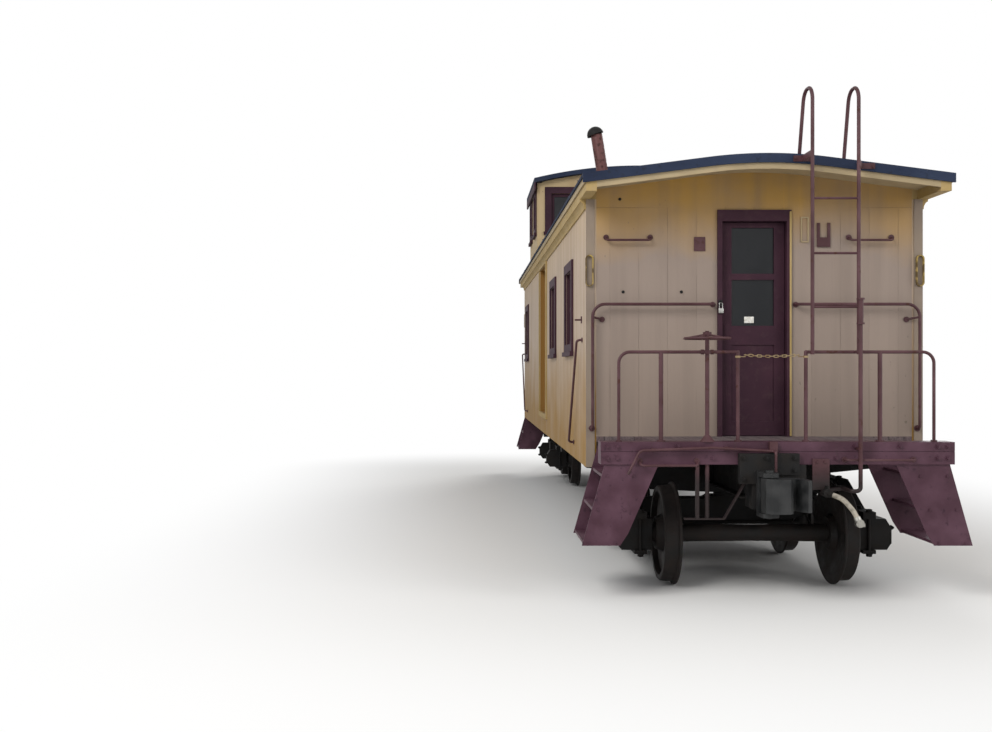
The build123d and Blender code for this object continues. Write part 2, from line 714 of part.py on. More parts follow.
def door_pintles():
    """The pins on the inner face of the end wall that carry the leaf's hinge eyes."""
    wall = -HALF_L + WALL + SEAT
    pin_x, pin_y = hinge_pin()
    lug_h = 22
    plate_x = (pin_x + 16, pin_x + 34)
    plate_h = 120
    pintles = []
    for height in HINGES_Z:
        z = FLOOR_TOP + height - SEAT
        lug = block((pin_x - 8, plate_x[1]), (wall, pin_y + 8), (z - lug_h, z))
        lug += block(plate_x, (wall, wall + HINGE_LEAF_T), around(z, plate_h))
        pintles.append(lug + rod((pin_x, pin_y, z - lug_h / 2), (pin_x, pin_y, z + HINGE_EYE_H + 6),
                                 2 * HINGE_PIN_R))
    return pintles


def door_pane_heights():
    low, high = around(FLOOR_TOP + DOOR_RAIL_Z, DOOR_RAIL_H)
    return [(FLOOR_TOP + DOOR_GLASS_BOTTOM, low), (high, FLOOR_TOP + DOOR_GLASS_TOP)]


def end_door_glass():
    y = around(-HALF_L + DOOR_INSET + DOOR_T / 2, GLASS_T)
    return [block(around(0, DOOR_GLASS_W - 2 * SEAT), y, (z[0] + SEAT, z[1] - SEAT))
            for z in door_pane_heights()]


# Side doors
def side_door_casing():
    x = (HALF_W + SEAT, HALF_W + SEAT + CASING_T)
    top = FLOOR_TOP + SIDE_DOOR_H
    under_crown = EAVE_BOARD_Z - CROWN_H - SEAT
    frame = block(x, around(SIDE_DOOR_Y, SIDE_DOOR_W + 2 * SIDE_CASING_W),
                  (FLOOR_TOP - SIDE_CASING_FOOT, min(top + CASING_T, under_crown)))
    return frame - block((x[0] - PAST, x[1] + PAST), around(SIDE_DOOR_Y, SIDE_DOOR_W), (FLOOR_TOP, top))


def side_door_x():
    inner = HALF_W - WALL - SWING
    return (inner - SIDE_DOOR_T, inner)


def side_track_z():
    low = FLOOR_TOP + SIDE_DOOR_H + SIDE_DOOR_LAP + SWING
    return (low, low + TRACK_H)


def side_door():
    """The sliding leaf inside the right wall, hung on its track by two hooks."""
    x = side_door_x()
    half = SIDE_DOOR_W / 2 + SIDE_DOOR_LAP
    top = FLOOR_TOP + SIDE_DOOR_H + SIDE_DOOR_LAP
    leaf = block(x, (SIDE_DOOR_Y - half, SIDE_DOOR_Y + half), (FLOOR_TOP + SWING, top))
    seat = side_track_z()[1] + SEAT
    strap_low = top - 2 * HANGER_W
    cap_t = 12
    reach = HANGER_T + TRACK_T + 2
    for y in (SIDE_DOOR_Y - half + HANGER_INSET, SIDE_DOOR_Y + half - HANGER_INSET):
        leaf += block((x[0] - HANGER_T, x[0]), around(y, HANGER_W), (strap_low, seat + cap_t))
        leaf += block((x[0] - HANGER_T, x[0] + reach), around(y, HANGER_W), (seat, seat + cap_t))
    return leaf


def side_track():
    """The rail over the doorway that the sliding leaf hangs on, with feet to the wall."""
    x = side_door_x()[0] + HANGER_T
    half = SIDE_DOOR_W / 2 + SIDE_DOOR_LAP
    past_leaf = 20
    ends = (SIDE_DOOR_Y - half - past_leaf, SIDE_DOOR_Y + half + SIDE_DOOR_TRAVEL + past_leaf)
    z = side_track_z()
    track = block((x, x + TRACK_T), ends, z)
    foot = 20
    for y in (ends[0] + foot / 2, SIDE_DOOR_Y, ends[1] - foot / 2):
        track += block((x, CABIN_OUT), around(y, foot), (z[0], z[0] + foot))
    return track


# Railings and brake staffs
def railing():
    """The rails either side of the gate, the left one with a collar round the brake staff."""
    y = -POST_Y
    floor = FLOOR_TOP + SEAT
    foot = floor + POST_FOOT_T / 2
    collar_wall = 16
    collar_h = 30
    bead_x = 39
    bead_l = 24
    rails = []
    for side, gate in ((-1, GATE_X[0]), (1, GATE_X[1])):
        end = side * RAIL_END_X
        iron = bent_pipe([(gate, y, RAIL_Z), (end, y, RAIL_Z), (end, y, floor)], RAIL_D, RAIL_BEND)
        iron += rod((gate, y, floor), (gate, y, RAIL_Z), GATE_POST_D)
        iron += Pos(gate, y, RAIL_Z) * Sphere(GATE_POST_D / 2)
        iron += disc(gate, y, foot, 2 * GATE_POST_D, POST_FOOT_T)
        iron += disc(end, y, foot, 2 * RAIL_D, POST_FOOT_T)
        for x in POSTS_X:
            if x * side > 0:
                iron += rod((x, y, floor), (x, y, RAIL_Z), POST_D)
                iron += disc(x, y, foot, 2 * POST_D, POST_FOOT_T)
        rails.append(iron)
    rails[0] += disc(STAFF_X, y, RAIL_Z, STAFF_D + 2 * collar_wall, collar_h)
    for side in (-1, 1):
        rails[0] += disc(STAFF_X + side * bead_x, y, RAIL_Z, RAIL_D + 14, bead_l, (0, 90, 0))
    rails[0] -= disc(STAFF_X, y, RAIL_Z, STAFF_D + 2 * SEAT, 2 * collar_h)
    return rails


def brake_staff():
    """The upright brake shaft with its dished hand wheel."""
    x, y = STAFF_X, -POST_Y
    staff = rod((x, y, STIRRUP_Z + SEAT), (x, y, BRAKE_WHEEL_Z + STAFF_HEAD), STAFF_D)
    collar_r = 62
    collar_h = 56
    staff += Pos(x, y, FLOOR_TOP + SEAT + collar_h / 2) * Cone(collar_r, STAFF_D / 2, collar_h)
    reach = BRAKE_WHEEL_R - BRAKE_RIM_D / 2
    staff += Pos(x, y, BRAKE_WHEEL_Z) * Torus(reach, BRAKE_RIM_D / 2)
    hub_z = BRAKE_WHEEL_Z + BRAKE_DISH
    staff += disc(x, y, hub_z, 2 * BRAKE_DISH, BRAKE_DISH)
    for spoke in range(BRAKE_SPOKES):
        angle = 2 * math.pi * (spoke + 0.28) / BRAKE_SPOKES
        rim_point = (x + reach * math.cos(angle), y + reach * math.sin(angle), BRAKE_WHEEL_Z)
        staff += rod((x, y, hub_z), rim_point, BRAKE_SPOKE_D)
    return staff


def staff_stirrup():
    """The strap that the brake staff stands in, hung from the end sill and the striker's side."""
    leg_x = -638
    low = STIRRUP_Z - STIRRUP_T
    foot_x = (-743, -420)
    hang_z = COUPLER_Z + STRIKER_LOW
    to_striker = -STRIKER_X - SEAT
    strap = [(foot_x[0], low), (foot_x[1], low), (to_striker, hang_z), (to_striker, hang_z + 2 * STIRRUP_T),
             (foot_x[1] - STIRRUP_T / 2, STIRRUP_Z), (foot_x[0], STIRRUP_Z)]
    back = -POST_Y + STIRRUP_W / 2
    leg = block(around(leg_x, 2 * STIRRUP_T), (back - STIRRUP_W, back), (low, END_SILL_BOTTOM - SEAT))
    return across_plate(strap, back, STIRRUP_W) + leg


# Ladders and hand irons
def ladder():
    """Two hairpin stringers over the roof's end, with rungs in front and stays to the roof."""
    y0, y1 = -LADDER_Y, -LADDER_Y + LADDER_BACK
    low = RAIL_Z - 20
    crown = 2 * LADDER_BEND
    foot_d = 68
    clip = 24
    iron = None
    for x in LADDER_X:
        foot = roof_height(x)
        hairpin = bent_pipe([(x, y0, low), (x, y0, LADDER_TOP), (x, y0 + crown, LADDER_TOP), (x, y1, foot)],
                            LADDER_D, LADDER_BEND)
        iron = hairpin if iron is None else iron + hairpin
        iron += disc(x, y1, foot + SEAT, foot_d, 16)
        iron += block(around(x, clip), (y0, -POST_Y - RAIL_D / 2 - SEAT), around(RAIL_Z, clip))
    for drop in RUNG_DROPS:
        z = ROOF_TOP - drop
        iron += rod((LADDER_X[0], y0, z), (LADDER_X[1], y0, z), RUNG_D)
    for x, feet in zip(LADDER_X, LADDER_FEET):
        iron += ladder_stay(x, y0, feet)
    return iron - under_roof(-SEAT, ROOF_END + SEAT, ROOF_W)


def ladder_stay(x, y, feet):
    """A flat iron from a stringer to its foot plate on the roof's end."""
    face = -ROOF_END - SEAT
    half = 6
    depth = 48
    foot_t = 8
    middle = roof_height(sum(feet) / 2) - ROOF_T / 2
    end = min(max(x, feet[0] + 2 * half), feet[1] - 2 * half)
    arm = [(x - half, y), (x + half, y), (end + half, face), (end - half, face)]
    stay = plate(arm, depth, Plane(origin=(0, 0, middle - depth / 2)))
    return stay + block(feet, (face - foot_t, face), around(middle, depth))


def before(shape, face):
    """What lies before a face that looks towards -Y."""
    return shape - block((-HALF_W, HALF_W), (face, face + WALL), (0, ROOF_TOP))


def wall_iron(start_x, end_x, z, foot_z, out, diameter):
    """A straight grab iron on the end wall, hung from two round feet."""
    wall = -HALF_L - SEAT
    points = [(start_x, wall, foot_z), (start_x, wall - out, z), (end_x, wall - out, z),
              (end_x, wall, foot_z)]
    iron = before(bent_pipe(points, diameter, diameter * 1.5), wall)
    for x in (start_x, end_x):
        iron += wall_foot(x, wall, foot_z)
    return iron


def wall_foot(x, wall, z, diameter=48):
    """A round foot plate on a face that looks towards -Y."""
    thickness = 10
    return disc(x, wall - thickness / 2, z, diameter, thickness, (90, 0, 0))


def corner_rail():
    """The L-shaped hand rail from beside the door out to the corner and down by the steps."""
    wall = -HALF_L - SEAT
    out = wall - 75
    z = FLOOR_TOP + 1145
    low = FLOOR_TOP + 73
    corner = 1410
    start = 360
    bend = 110
    strut_x = 1320
    strut_z = z - 129
    diameter = 26
    foot = wall - CORNER_T - SEAT
    points = [(start, wall, z), (start, out, z), (corner, out, z), (corner, out, low), (corner, foot, low)]
    iron = bent_pipe(points, diameter, [34, bend, 34])
    iron += before(rod((strut_x, wall, strut_z), (corner, out, z - bend), diameter * 0.7), wall)
    iron += wall_foot(strut_x, wall, strut_z)
    return iron + wall_foot(start, wall, z) + wall_foot(corner, foot, low, 54)


def side_iron():
    """The slanted hand rail on the side wall, which rises towards the steps, and the peg over it."""
    wall = HALF_W + SEAT
    out = wall + 52
    low = (-HALF_L + 1080, FLOOR_TOP - 116)
    high = (-HALF_L + 290, FLOOR_TOP + 845)
    diameter = 22
    foot_t = 10
    points = [(wall, *low), (out, *low), (out, *high), (wall, *high)]
    iron = bent_pipe(points, diameter, diameter * 1.4)
    for y, z in (low, high):
        iron += disc(wall + foot_t / 2, y, z, 44, foot_t, (0, 90, 0))
    peg_y = -HALF_L + 345
    peg_z = FLOOR_TOP + 1027
    peg = rod((wall, peg_y, peg_z), (wall + 64, peg_y, peg_z), 16)
    peg += block((wall, wall + foot_t), around(peg_y, 30), around(peg_z, 62))
    return [iron, peg]


def sill_iron(start_x, end_x, z, foot_z):
    """A grab iron on the face of the end sill."""
    face = -SILL_FACE - SEAT
    out = 60
    diameter = 20
    points = [(start_x, face, foot_z), (start_x, face - out, z), (end_x, face - out, z),
              (end_x, face, foot_z)]
    iron = before(bent_pipe(points, diameter, diameter * 1.5), face)
    return iron + wall_foot(start_x, face, foot_z, 44) + wall_foot(end_x, face, foot_z, 44)


def grab_irons():
    """All the hand irons of one end."""
    bar_z = FLOOR_TOP + 1700
    foot_z = bar_z + 28
    pieces = [wall_iron(-1285, -903, bar_z, foot_z, 60, 20), wall_iron(820, 1189, bar_z, foot_z, 60, 20),
              corner_rail(), across(corner_rail()),
              sill_iron(534, 1085, END_SILL_BOTTOM + 39, END_SILL_BOTTOM + 39),
              sill_iron(-1108, -650, END_SILL_BOTTOM - 5, END_SILL_BOTTOM + 30)]
    for piece in side_iron():
        pieces += [piece, across(piece)]
    return pieces


# Cut lever: the uncoupling rod along the end sill. It ends in a rod down to the coupler's lock.
def cut_lever():
    face = -SILL_FACE - SEAT
    y = face - 42
    diameter = 22
    handle = (-1208, END_SILL_BOTTOM - 76)
    elbow = (-1112, END_SILL_BOTTOM + 114)
    crest = (-526, END_SILL_BOTTOM + 137)
    lock_x = -40
    lock_y = -SILL_FACE - 95
    lock_z = END_SILL_BOTTOM + NOSE_TOP + diameter / 2 + SWING
    head_top = COUPLER_Z + HEAD_H / 2 + SEAT
    points = [(handle[0], y, handle[1]), (elbow[0], y, elbow[1]), (crest[0], y, crest[1]),
              (lock_x, y, lock_z), (lock_x, lock_y, lock_z), (lock_x, lock_y, head_top)]
    lever = bent_pipe(points, diameter, [60, 200, 24, 24])
    bearing = 28
    for x, start, end in ((-1000, elbow, crest), (-420, crest, (lock_x, lock_z))):
        z = start[1] + (end[1] - start[1]) * (x - start[0]) / (end[0] - start[0])
        lever += block(around(x, bearing), (y, face), around(z, bearing))
    over_nose = END_SILL_BOTTOM + NOSE_TOP + SWING
    return lever + block((-75, -11), (y, face), (over_nose, over_nose + 88))


# Back-up air pipe: upright in front of the ladder's right stringer, a whistle valve on its top.
def backup_pipe():
    y = -SILL_FACE - BACKUP_OUT
    low = PIPE_Z + 17
    back = -SILL_FACE + 132
    inner = BACKUP_X - BACKUP_STEP
    points = [(BACKUP_X, y, BACKUP_TOP), (BACKUP_X, y, low), (inner, y, low), (inner, back, low),
              (PIPE_X + PIPE_D / 2 + SEAT, back, PIPE_Z)]
    pipe = bent_pipe(points, BACKUP_D, [32, 32, 40])
    foot = BACKUP_TOP - BACKUP_VALVE_L
    pipe += rod((BACKUP_X, y, foot), (BACKUP_X, y, BACKUP_TOP), BACKUP_VALVE_D)
    flange_t = 14
    for z in (foot, BACKUP_TOP):
        pipe += disc(BACKUP_X, y, z, BACKUP_FLANGE_D, flange_t)
    clip = 24
    stringer = -LADDER_Y - LADDER_D / 2 - SEAT
    for z, end in ((RAIL_Z + 90, stringer), (FLOOR_TOP - 50, -SILL_FACE - SEAT)):
        pipe += block(around(BACKUP_X, clip), (y, end), around(z, clip))
    return pipe


# Couplers. Outlines are (across the car, out from the end sill), about the coupler's height.
HEAD_OUTLINE = [(-80, 66), (80, 66), (150, 120), (188, 230), (182, 312), (150, 322),
                (112, 262), (84, 205), (30, 160), (-50, 140), (-150, 118), (-120, 80)]
POCKET_OUTLINE = [(30, 160), (84, 205), (112, 262), (-60, 262), (-60, 150)]
LUG_OUTLINE = [(-190, 120), (-50, 110), (-40, 190), (-62, 245), (-120, 262), (-178, 240)]
CHEEK_OUTLINE = [(-190, 70), (-60, 70), (-50, 118), (-190, 118)]


def coupler_outline(points, height):
    flat = [(x, -SILL_FACE - out) for x, out in points]
    return plate(flat, height, Plane(origin=(0, 0, COUPLER_Z - height / 2)))


def coupler():
    """Head, shank and draught gear in one, with the knuckle's pocket and its two pin lugs."""
    shank = block(around(0, SHANK_W), (-SILL_FACE - 75, -SILL_FACE + 520), around(COUPLER_Z, SHANK_H))
    yoke = block(around(0, 2 * (CENTRE_SILL_X - SEAT)), (-SILL_FACE + 320, -SILL_FACE + 860),
                 (COUPLER_Z - 70, COUPLER_Z + 120))
    body = shank + yoke + coupler_outline(HEAD_OUTLINE, HEAD_H) - coupler_outline(POCKET_OUTLINE, 2 * HEAD_H)
    offset = KNUCKLE_H / 2 + SWING + LUG_T / 2
    for side in (-1, 1):
        body += Pos(0, 0, side * offset) * coupler_outline(LUG_OUTLINE, LUG_T)
    body += coupler_outline(CHEEK_OUTLINE, 2 * offset + LUG_T)
    pin_y = -SILL_FACE - PIN_OUT
    body -= disc(PIN_X, pin_y, COUPLER_Z, 2 * (PIN_R + RUNNING), 2 * KNUCKLE_H)
    return body - disc(PIN_X, pin_y, COUPLER_Z, 2 * (KNUCKLE_HUB_R + SWING), KNUCKLE_H + 2 * SWING)


def knuckle():
    """The hooked jaw of the coupler with its pin."""
    tip = COUPLER_OUT
    jaw = coupler_outline([(PIN_X - KNUCKLE_HUB_R, PIN_OUT), (PIN_X - 50, tip - 52), (PIN_X - 10, tip - 12),
                           (PIN_X + 40, tip), (12, tip - 10), (40, tip - 44), (38, tip - 84), (4, tip - 98),
                           (-30, tip - 86), (PIN_X + KNUCKLE_HUB_R, PIN_OUT + 10)], KNUCKLE_H)
    pin_y = -SILL_FACE - PIN_OUT
    reach = KNUCKLE_H / 2 + SWING + LUG_T + 10
    head_h = 20
    jaw += disc(PIN_X, pin_y, COUPLER_Z, 2 * KNUCKLE_HUB_R, KNUCKLE_H)
    jaw += disc(PIN_X, pin_y, COUPLER_Z, 2 * PIN_R, 2 * reach)
    return jaw + disc(PIN_X, pin_y, COUPLER_Z + reach + SEAT, 2 * PIN_R + 26, head_h)


# Air brake gear. The cock's outlet is bored, and the hose runs from it to its coupling.
OUTLET_L = 62.0
OUTLET_WAY = Vector(0.606, -0.768, -0.208)
COCK_START = Vector(PIPE_X, -SILL_FACE - PIPE_END - COCK_L / 2 - 2, PIPE_Z)
COCK_END = COCK_START + OUTLET_WAY * OUTLET_L
COCK_BORE_R = 17.0
COCK_BORE_L = 40.0
HOSE_START = COCK_END + OUTLET_WAY * SEAT
HOSE_ROUTE = [
    tuple(HOSE_START),
    (459.0, -SILL_FACE - 172, 864.0),
    (499.0, -SILL_FACE - 223, 808.0),
    (526.0, -SILL_FACE - 255, 766.0),
    (541.0, -SILL_FACE - 273, 724.0),
]


def angle_cock():
    """The cock on the end of the brake pipe. Its outlet looks out and down to the side."""
    y = -SILL_FACE - PIPE_END - SEAT - COCK_L / 2
    stem_h = 40
    body = disc(PIPE_X, y, PIPE_Z, COCK_D, COCK_L, (90, 0, 0))
    body += disc(PIPE_X, y, PIPE_Z + COCK_D / 2, 34, stem_h)
    body += block(around(PIPE_X, 20), (y - 50, y + 10), (PIPE_Z + 50, PIPE_Z + 60))
    body += rod(COCK_START, COCK_END, HOSE_D + 8)
    return body - rod(COCK_END - OUTLET_WAY * COCK_BORE_L, COCK_END + OUTLET_WAY * PAST, 2 * COCK_BORE_R)


def pipe_hanger():
    """The plate on the end sill that holds the brake pipe, with an eye round the pipe."""
    face = -SILL_FACE - SEAT
    thickness = 12
    eye_d = 66
    hanger = block((PIPE_X - 98, PIPE_X + 38), (face - thickness, face), (PIPE_Z + 20, END_SILL_BOTTOM + 46))
    hanger += disc(PIPE_X, face - thickness / 2, PIPE_Z, eye_d, thickness, (90, 0, 0))
    return hanger - rod((PIPE_X, face - 2 * thickness, PIPE_Z), (PIPE_X, face + PAST, PIPE_Z),
                        PIPE_D + 2 * SEAT)


def hose_radii():
    """Each arc is 0.45 of its shorter run over the tangent of half its turn."""
    radii = []
    for before, corner, after in zip(HOSE_ROUTE, HOSE_ROUTE[1:], HOSE_ROUTE[2:]):
        run_in = Vector(*corner) - Vector(*before)
        run_out = Vector(*after) - Vector(*corner)
        half_turn = math.radians(run_in.get_angle(run_out) / 2)
        radii.append(0.45 * min(run_in.length, run_out.length) / math.tan(half_turn))
    return radii


def air_hose():
    return bent_pipe(HOSE_ROUTE, HOSE_D, hose_radii())


def hose_coupling():
    """The hooked metal head on the free end of the hose."""
    way = (Vector(*HOSE_ROUTE[-1]) - Vector(*HOSE_ROUTE[-2])).normalized()
    start = Vector(*HOSE_ROUTE[-1]) + way * SEAT
    collar_l = 40
    head_out = 48
    head_d = 64
    head_t = 40
    hook_l = 40
    hook_t = 26
    x, y, z = start + way * head_out
    coupling = rod(start, start + way * collar_l, HOSE_D + 14)
    coupling += disc(x, y, z, head_d, head_t, (90, 0, 0))
    return coupling + block((x, x + hook_l), around(y, hook_t), (z - hook_t, z))


def reservoir():
    """A tank lying along the car with straps up to the floor."""
    x, y = -720.0, -300.0
    radius = 190.0
    length = 900.0
    z = FLOOR_TOP - FLOOR_T - 75 - radius
    tank = disc(x, y, z, 2 * radius, length, (90, 0, 0))
    tank = fillet(tank.edges().filter_by(GeomType.CIRCLE), radius * 0.3)
    for along in (-0.3, 0.3):
        tank += block(around(x, 1.4 * radius), around(y + along * length, 50), (z, FRAME_TOP))
    return tank


def brake_cylinder():
    """The cylinder with its flanged head and its push rod towards the photographed end."""
    x, y = 680.0, -350.0
    radius = 150.0
    length = 420.0
    head_t = 24.0
    dome_l = 56.0
    z = FLOOR_TOP - FLOOR_T - 70 - radius
    head_y = y - length / 2 - head_t / 2
    dome_y = head_y - head_t / 2 - dome_l / 2
    body = disc(x, y, z, 2 * radius, length, (90, 0, 0))
    body += disc(x, head_y, z, 2 * radius + 52, head_t, (90, 0, 0))
    body += Pos(x, dome_y, z) * Rot(90, 0, 0) * Cone(radius * 0.8, radius * 0.4, dome_l)
    body += rod((x, dome_y, z), (x, dome_y - 350, z), 40)
    for along in (-150, 150):
        body += block(around(x, 220), around(y + along, 60), (z, FRAME_TOP))
    return body


# Smoke pipe. It leans towards the left, and its cap is half a ball, tipped the same way.
STACK_X = -753.0
STACK_Y = -HALF_L + 3870.0
STACK_D = 140.0
STACK_WALL = 6.0
STACK_TOP = ROOF_TOP + 1038.0
STACK_LEAN = math.radians(9)
STACK_ROOM = 20.0       # between the pipe and the edge of its hole in the roof
STACK_FLASHING = 62.0
CAP_R = 100.0
CAP_TILT = 20.0
CAP_SHIFT = 12.0        # how far the cap's centre lies beyond the pipe's end, along its lean


def stack_ends():
    z = roof_height(STACK_X)
    low = z - 120
    return ((STACK_X + math.tan(STACK_LEAN) * (z - low), STACK_Y, low),
            (STACK_X - math.tan(STACK_LEAN) * (STACK_TOP - z), STACK_Y, STACK_TOP))


def smoke_pipe_hole():
    z = roof_height(STACK_X)
    return rod((STACK_X, STACK_Y, z - 3 * ROOF_T), (STACK_X, STACK_Y, z + ROOF_T), STACK_D + 2 * STACK_ROOM)


def smoke_pipe():
    """The leaning stove pipe with its flashing on the roof."""
    start, end = stack_ends()
    z = roof_height(STACK_X)
    flashing_t = 9
    flashing = rod((STACK_X, STACK_Y, z - ROOF_T), (STACK_X, STACK_Y, z + ROOF_T),
                   STACK_D + 2 * STACK_FLASHING)
    flashing &= under_roof(-flashing_t, HALF_L, ROOF_W)
    flashing -= under_roof(-SEAT, HALF_L, ROOF_W)
    return rod(start, end, STACK_D) + flashing - rod(start, end, STACK_D - 2 * STACK_WALL)


def smoke_cap():
    """The cap over the pipe's end, on a strap to the pipe."""
    start, end = stack_ends()
    shell = 3
    x = end[0] - CAP_SHIFT
    cap = Pos(x, STACK_Y, end[2]) * (Sphere(CAP_R) - Sphere(CAP_R - shell))
    upper = Pos(0, 0, CAP_R) * Box(3 * CAP_R, 3 * CAP_R, 2 * CAP_R)
    cap &= Pos(x, STACK_Y, end[2]) * Rot(0, -CAP_TILT, 0) * upper
    strap_z = end[2] - CAP_R / 4
    cap += rod((x - CAP_R * 0.96, STACK_Y, strap_z), (end[0], STACK_Y, strap_z), 12)
    return cap - rod(start, Vector(*end) + Vector(0, 0, PAST), STACK_D + 2 * SEAT)


# Small irons on the end wall: a blank plate, and a two-pronged bracket for a lamp or flag
def end_fittings():
    wall = -HALF_L - SEAT
    plate_t = 8
    bracket_t = 14
    bracket_x = (544, 658)
    bracket_low = FLOOR_TOP + 1645
    base_h = 82
    prong_h = 208
    prong_w = 24
    fittings = [block((-522, -426), (wall - plate_t, wall), (FLOOR_TOP + 1610, FLOOR_TOP + 1732))]
    bracket = block(bracket_x, (wall - bracket_t, wall), (bracket_low, bracket_low + base_h))
    for x in (bracket_x[0], bracket_x[1] - prong_w):
        bracket += block((x, x + prong_w), (wall - bracket_t, wall), (bracket_low, bracket_low + prong_h))
    return fittings + [bracket]


def marker_bracket():
    """The upright oval loop on the corner board that takes a marker lamp."""
    wall = -HALF_L - 2 * SEAT - CORNER_T
    height = 273
    width = 70
    depth = 24
    bar_w = 10
    plane = Plane(origin=(HALF_W - 28, wall, FLOOR_TOP + 1438), x_dir=(0, 0, 1), z_dir=(0, -1, 0))
    loop = SlotOverall(height, width) - SlotOverall(height - 2 * bar_w, width - 2 * bar_w)
    return extrude(plane * loop, amount=depth)


# Gate chain: links alternate flat and upright between hooks on the two gate posts
LINK_WIRE = 7.0
LINK_INSIDE = 34.0
LINK_WIDTH = 24.0
LINK_SIDES = 8
CHAIN_Z = RAIL_Z - 25.0
CHAIN_SAG = 10.0
HOOK_REACH = 12.0


def chain_link():
    """One link along X, lying flat, of eight-sided wire bent in flats."""
    bend = (LINK_WIDTH - LINK_WIRE) / 2
    straight = LINK_INSIDE / 2 + LINK_WIRE / 2 - bend
    turns = [math.radians(angle) for angle in (90, 60, 30, 0, -30, -60, -90)]
    path = [(straight + bend * math.cos(turn), bend * math.sin(turn), 0) for turn in turns]
    line = Polyline((0, bend, 0), *path, (0, -bend, 0))
    section = Plane(origin=line @ 0, z_dir=line % 0) * RegularPolygon(LINK_WIRE / 2, LINK_SIDES)
    half = sweep(section, path=line, transition=Transition.RIGHT)
    return half + mirror(half, Plane.YZ)


def chain_places():
    """The middle of each link along X, an odd number of them so that both end links lie flat."""
    pitch = LINK_INSIDE - SEAT
    room = GATE_X[1] - GATE_X[0] - GATE_POST_D - 2 * HOOK_REACH
    count = 2 * int((room / pitch - 1) / 2) + 1
    middle = sum(GATE_X) / 2
    return [middle + pitch * (number - (count - 1) / 2) for number in range(count)]


def gate_chain():
    places = chain_places()
    span = places[-1] - places[0]
    link = chain_link()
    links = []
    for number, x in enumerate(places):
        share = (x - places[0]) / span
        slope = -4 * CHAIN_SAG * (1 - 2 * share) / span
        z = CHAIN_Z - 4 * CHAIN_SAG * share * (1 - share)
        tilt = -math.degrees(math.atan(slope))
        links.append(Pos(x, -POST_Y, z) * Rot(0, tilt, 0) * Rot(90 * (number % 2), 0, 0) * link)
    return links


def chain_hooks():
    """A collar on each gate post with an arm under the end link and a pin up through it."""
    places = chain_places()
    y = -POST_Y
    low = CHAIN_Z - 13
    collar_h = 16
    collar_wall = 6
    post_r = GATE_POST_D / 2
    hooks = []
    for post, link, side in ((GATE_X[0], places[0], 1), (GATE_X[1], places[-1], -1)):
        pin = link - side * (LINK_INSIDE / 2 - LINK_WIRE / 2 - SEAT)
        hook = disc(post, y, low, GATE_POST_D + 2 * collar_wall, collar_h)
        hook -= disc(post, y, low, GATE_POST_D + 2 * SEAT, 2 * collar_h)
        hook += rod((post + side * (post_r + collar_wall / 2), y, low), (pin + side * 3, y, low), LINK_WIRE)
        hooks.append(hook + rod((pin, y, low), (pin, y, CHAIN_Z + 9), LINK_WIRE))
    return hooks


# Trucks, drawn about their own centre pin
BOX_TOP = AXLE_Z + BOX_H / 2 + SEAT
BOX_LOW = AXLE_Z - BOX_H / 2 - SEAT


def bar(points):
    """An arch bar: a strap bent along points given as (along the car, height)."""
    outline = [(y, z) for y, z in points] + [(y, z + BAR_T) for y, z in reversed(points)]
    return plate(outline, BAR_W, Plane(origin=(FRAME_X - BAR_W / 2, 0, 0), x_dir=(0, 1, 0), z_dir=(1, 0, 0)))


def side_frame():
    """Top arch bar, inverted arch bar and tie bar, with the columns beside the bolster and the box bolts."""
    axle = WHEELBASE / 2
    end = axle + BOX_W / 2 + BAR_LAP
    inner = axle - BOX_W / 2 - BAR_LAP
    frame = bar([(-end, BOX_TOP + BAR_T), (-inner, BOX_TOP + BAR_T), (-BAR_FLAT, TOP_BAR_Z),
                 (BAR_FLAT, TOP_BAR_Z), (inner, BOX_TOP + BAR_T), (end, BOX_TOP + BAR_T)])
    frame += bar([(-end, BOX_TOP), (-inner, BOX_TOP), (-BAR_FLAT, BOX_LOW), (BAR_FLAT, BOX_LOW),
                  (inner, BOX_TOP), (end, BOX_TOP)])
    frame += bar([(-end, BOX_LOW - BAR_T), (end, BOX_LOW - BAR_T)])
    column = BOLSTER_W / 2 + SWING + COLUMN_T / 2
    bolt = BOX_W / 2 + 17
    for side in (-1, 1):
        frame += block(around(FRAME_X, COLUMN_W), around(side * column, COLUMN_T),
                       (BOX_LOW, TOP_BAR_Z + BAR_T / 2))
        for y in (side * (axle - bolt), side * (axle + bolt)):
            frame += rod((FRAME_X, y, BOX_LOW - BAR_T - BOX_BOLT_END),
                         (FRAME_X, y, BOX_TOP + 2 * BAR_T + BOX_BOLT_END), BOX_BOLT_D)
    return frame


def journal_box(y):
    """The iron box round a journal, with a sloping lid on its outer end."""
    low, high = around(AXLE_Z, BOX_H)
    toe = (40, 60)
    brow = (50, 80)
    lid_t = 10
    lid_edge = 24
    profile = [(BOX_IN, low), (BOX_OUT - toe[0], low), (BOX_OUT, low + toe[1]), (BOX_OUT, high - brow[1]),
               (BOX_OUT - brow[0], high), (BOX_IN, high)]
    box = across_plate(profile, y + BOX_W / 2, BOX_W)
    box += block((BOX_OUT - PAST, BOX_OUT + lid_t), around(y, BOX_W - 2 * lid_edge),
                 (low + toe[1] - lid_t, high - brow[1] + lid_t))
    return box - rod((BOX_IN - PAST, y, AXLE_Z), (JOURNAL_END + SWING, y, AXLE_Z), 2 * (JOURNAL_R + RUNNING))


def bolster_z():
    return (CENTRE_PLATE_Z - SEAT - BOLSTER_H, CENTRE_PLATE_Z - SEAT)


BOLSTER_END_RISE = 30.0     # its ends, over the springs, lie this far above its flanks


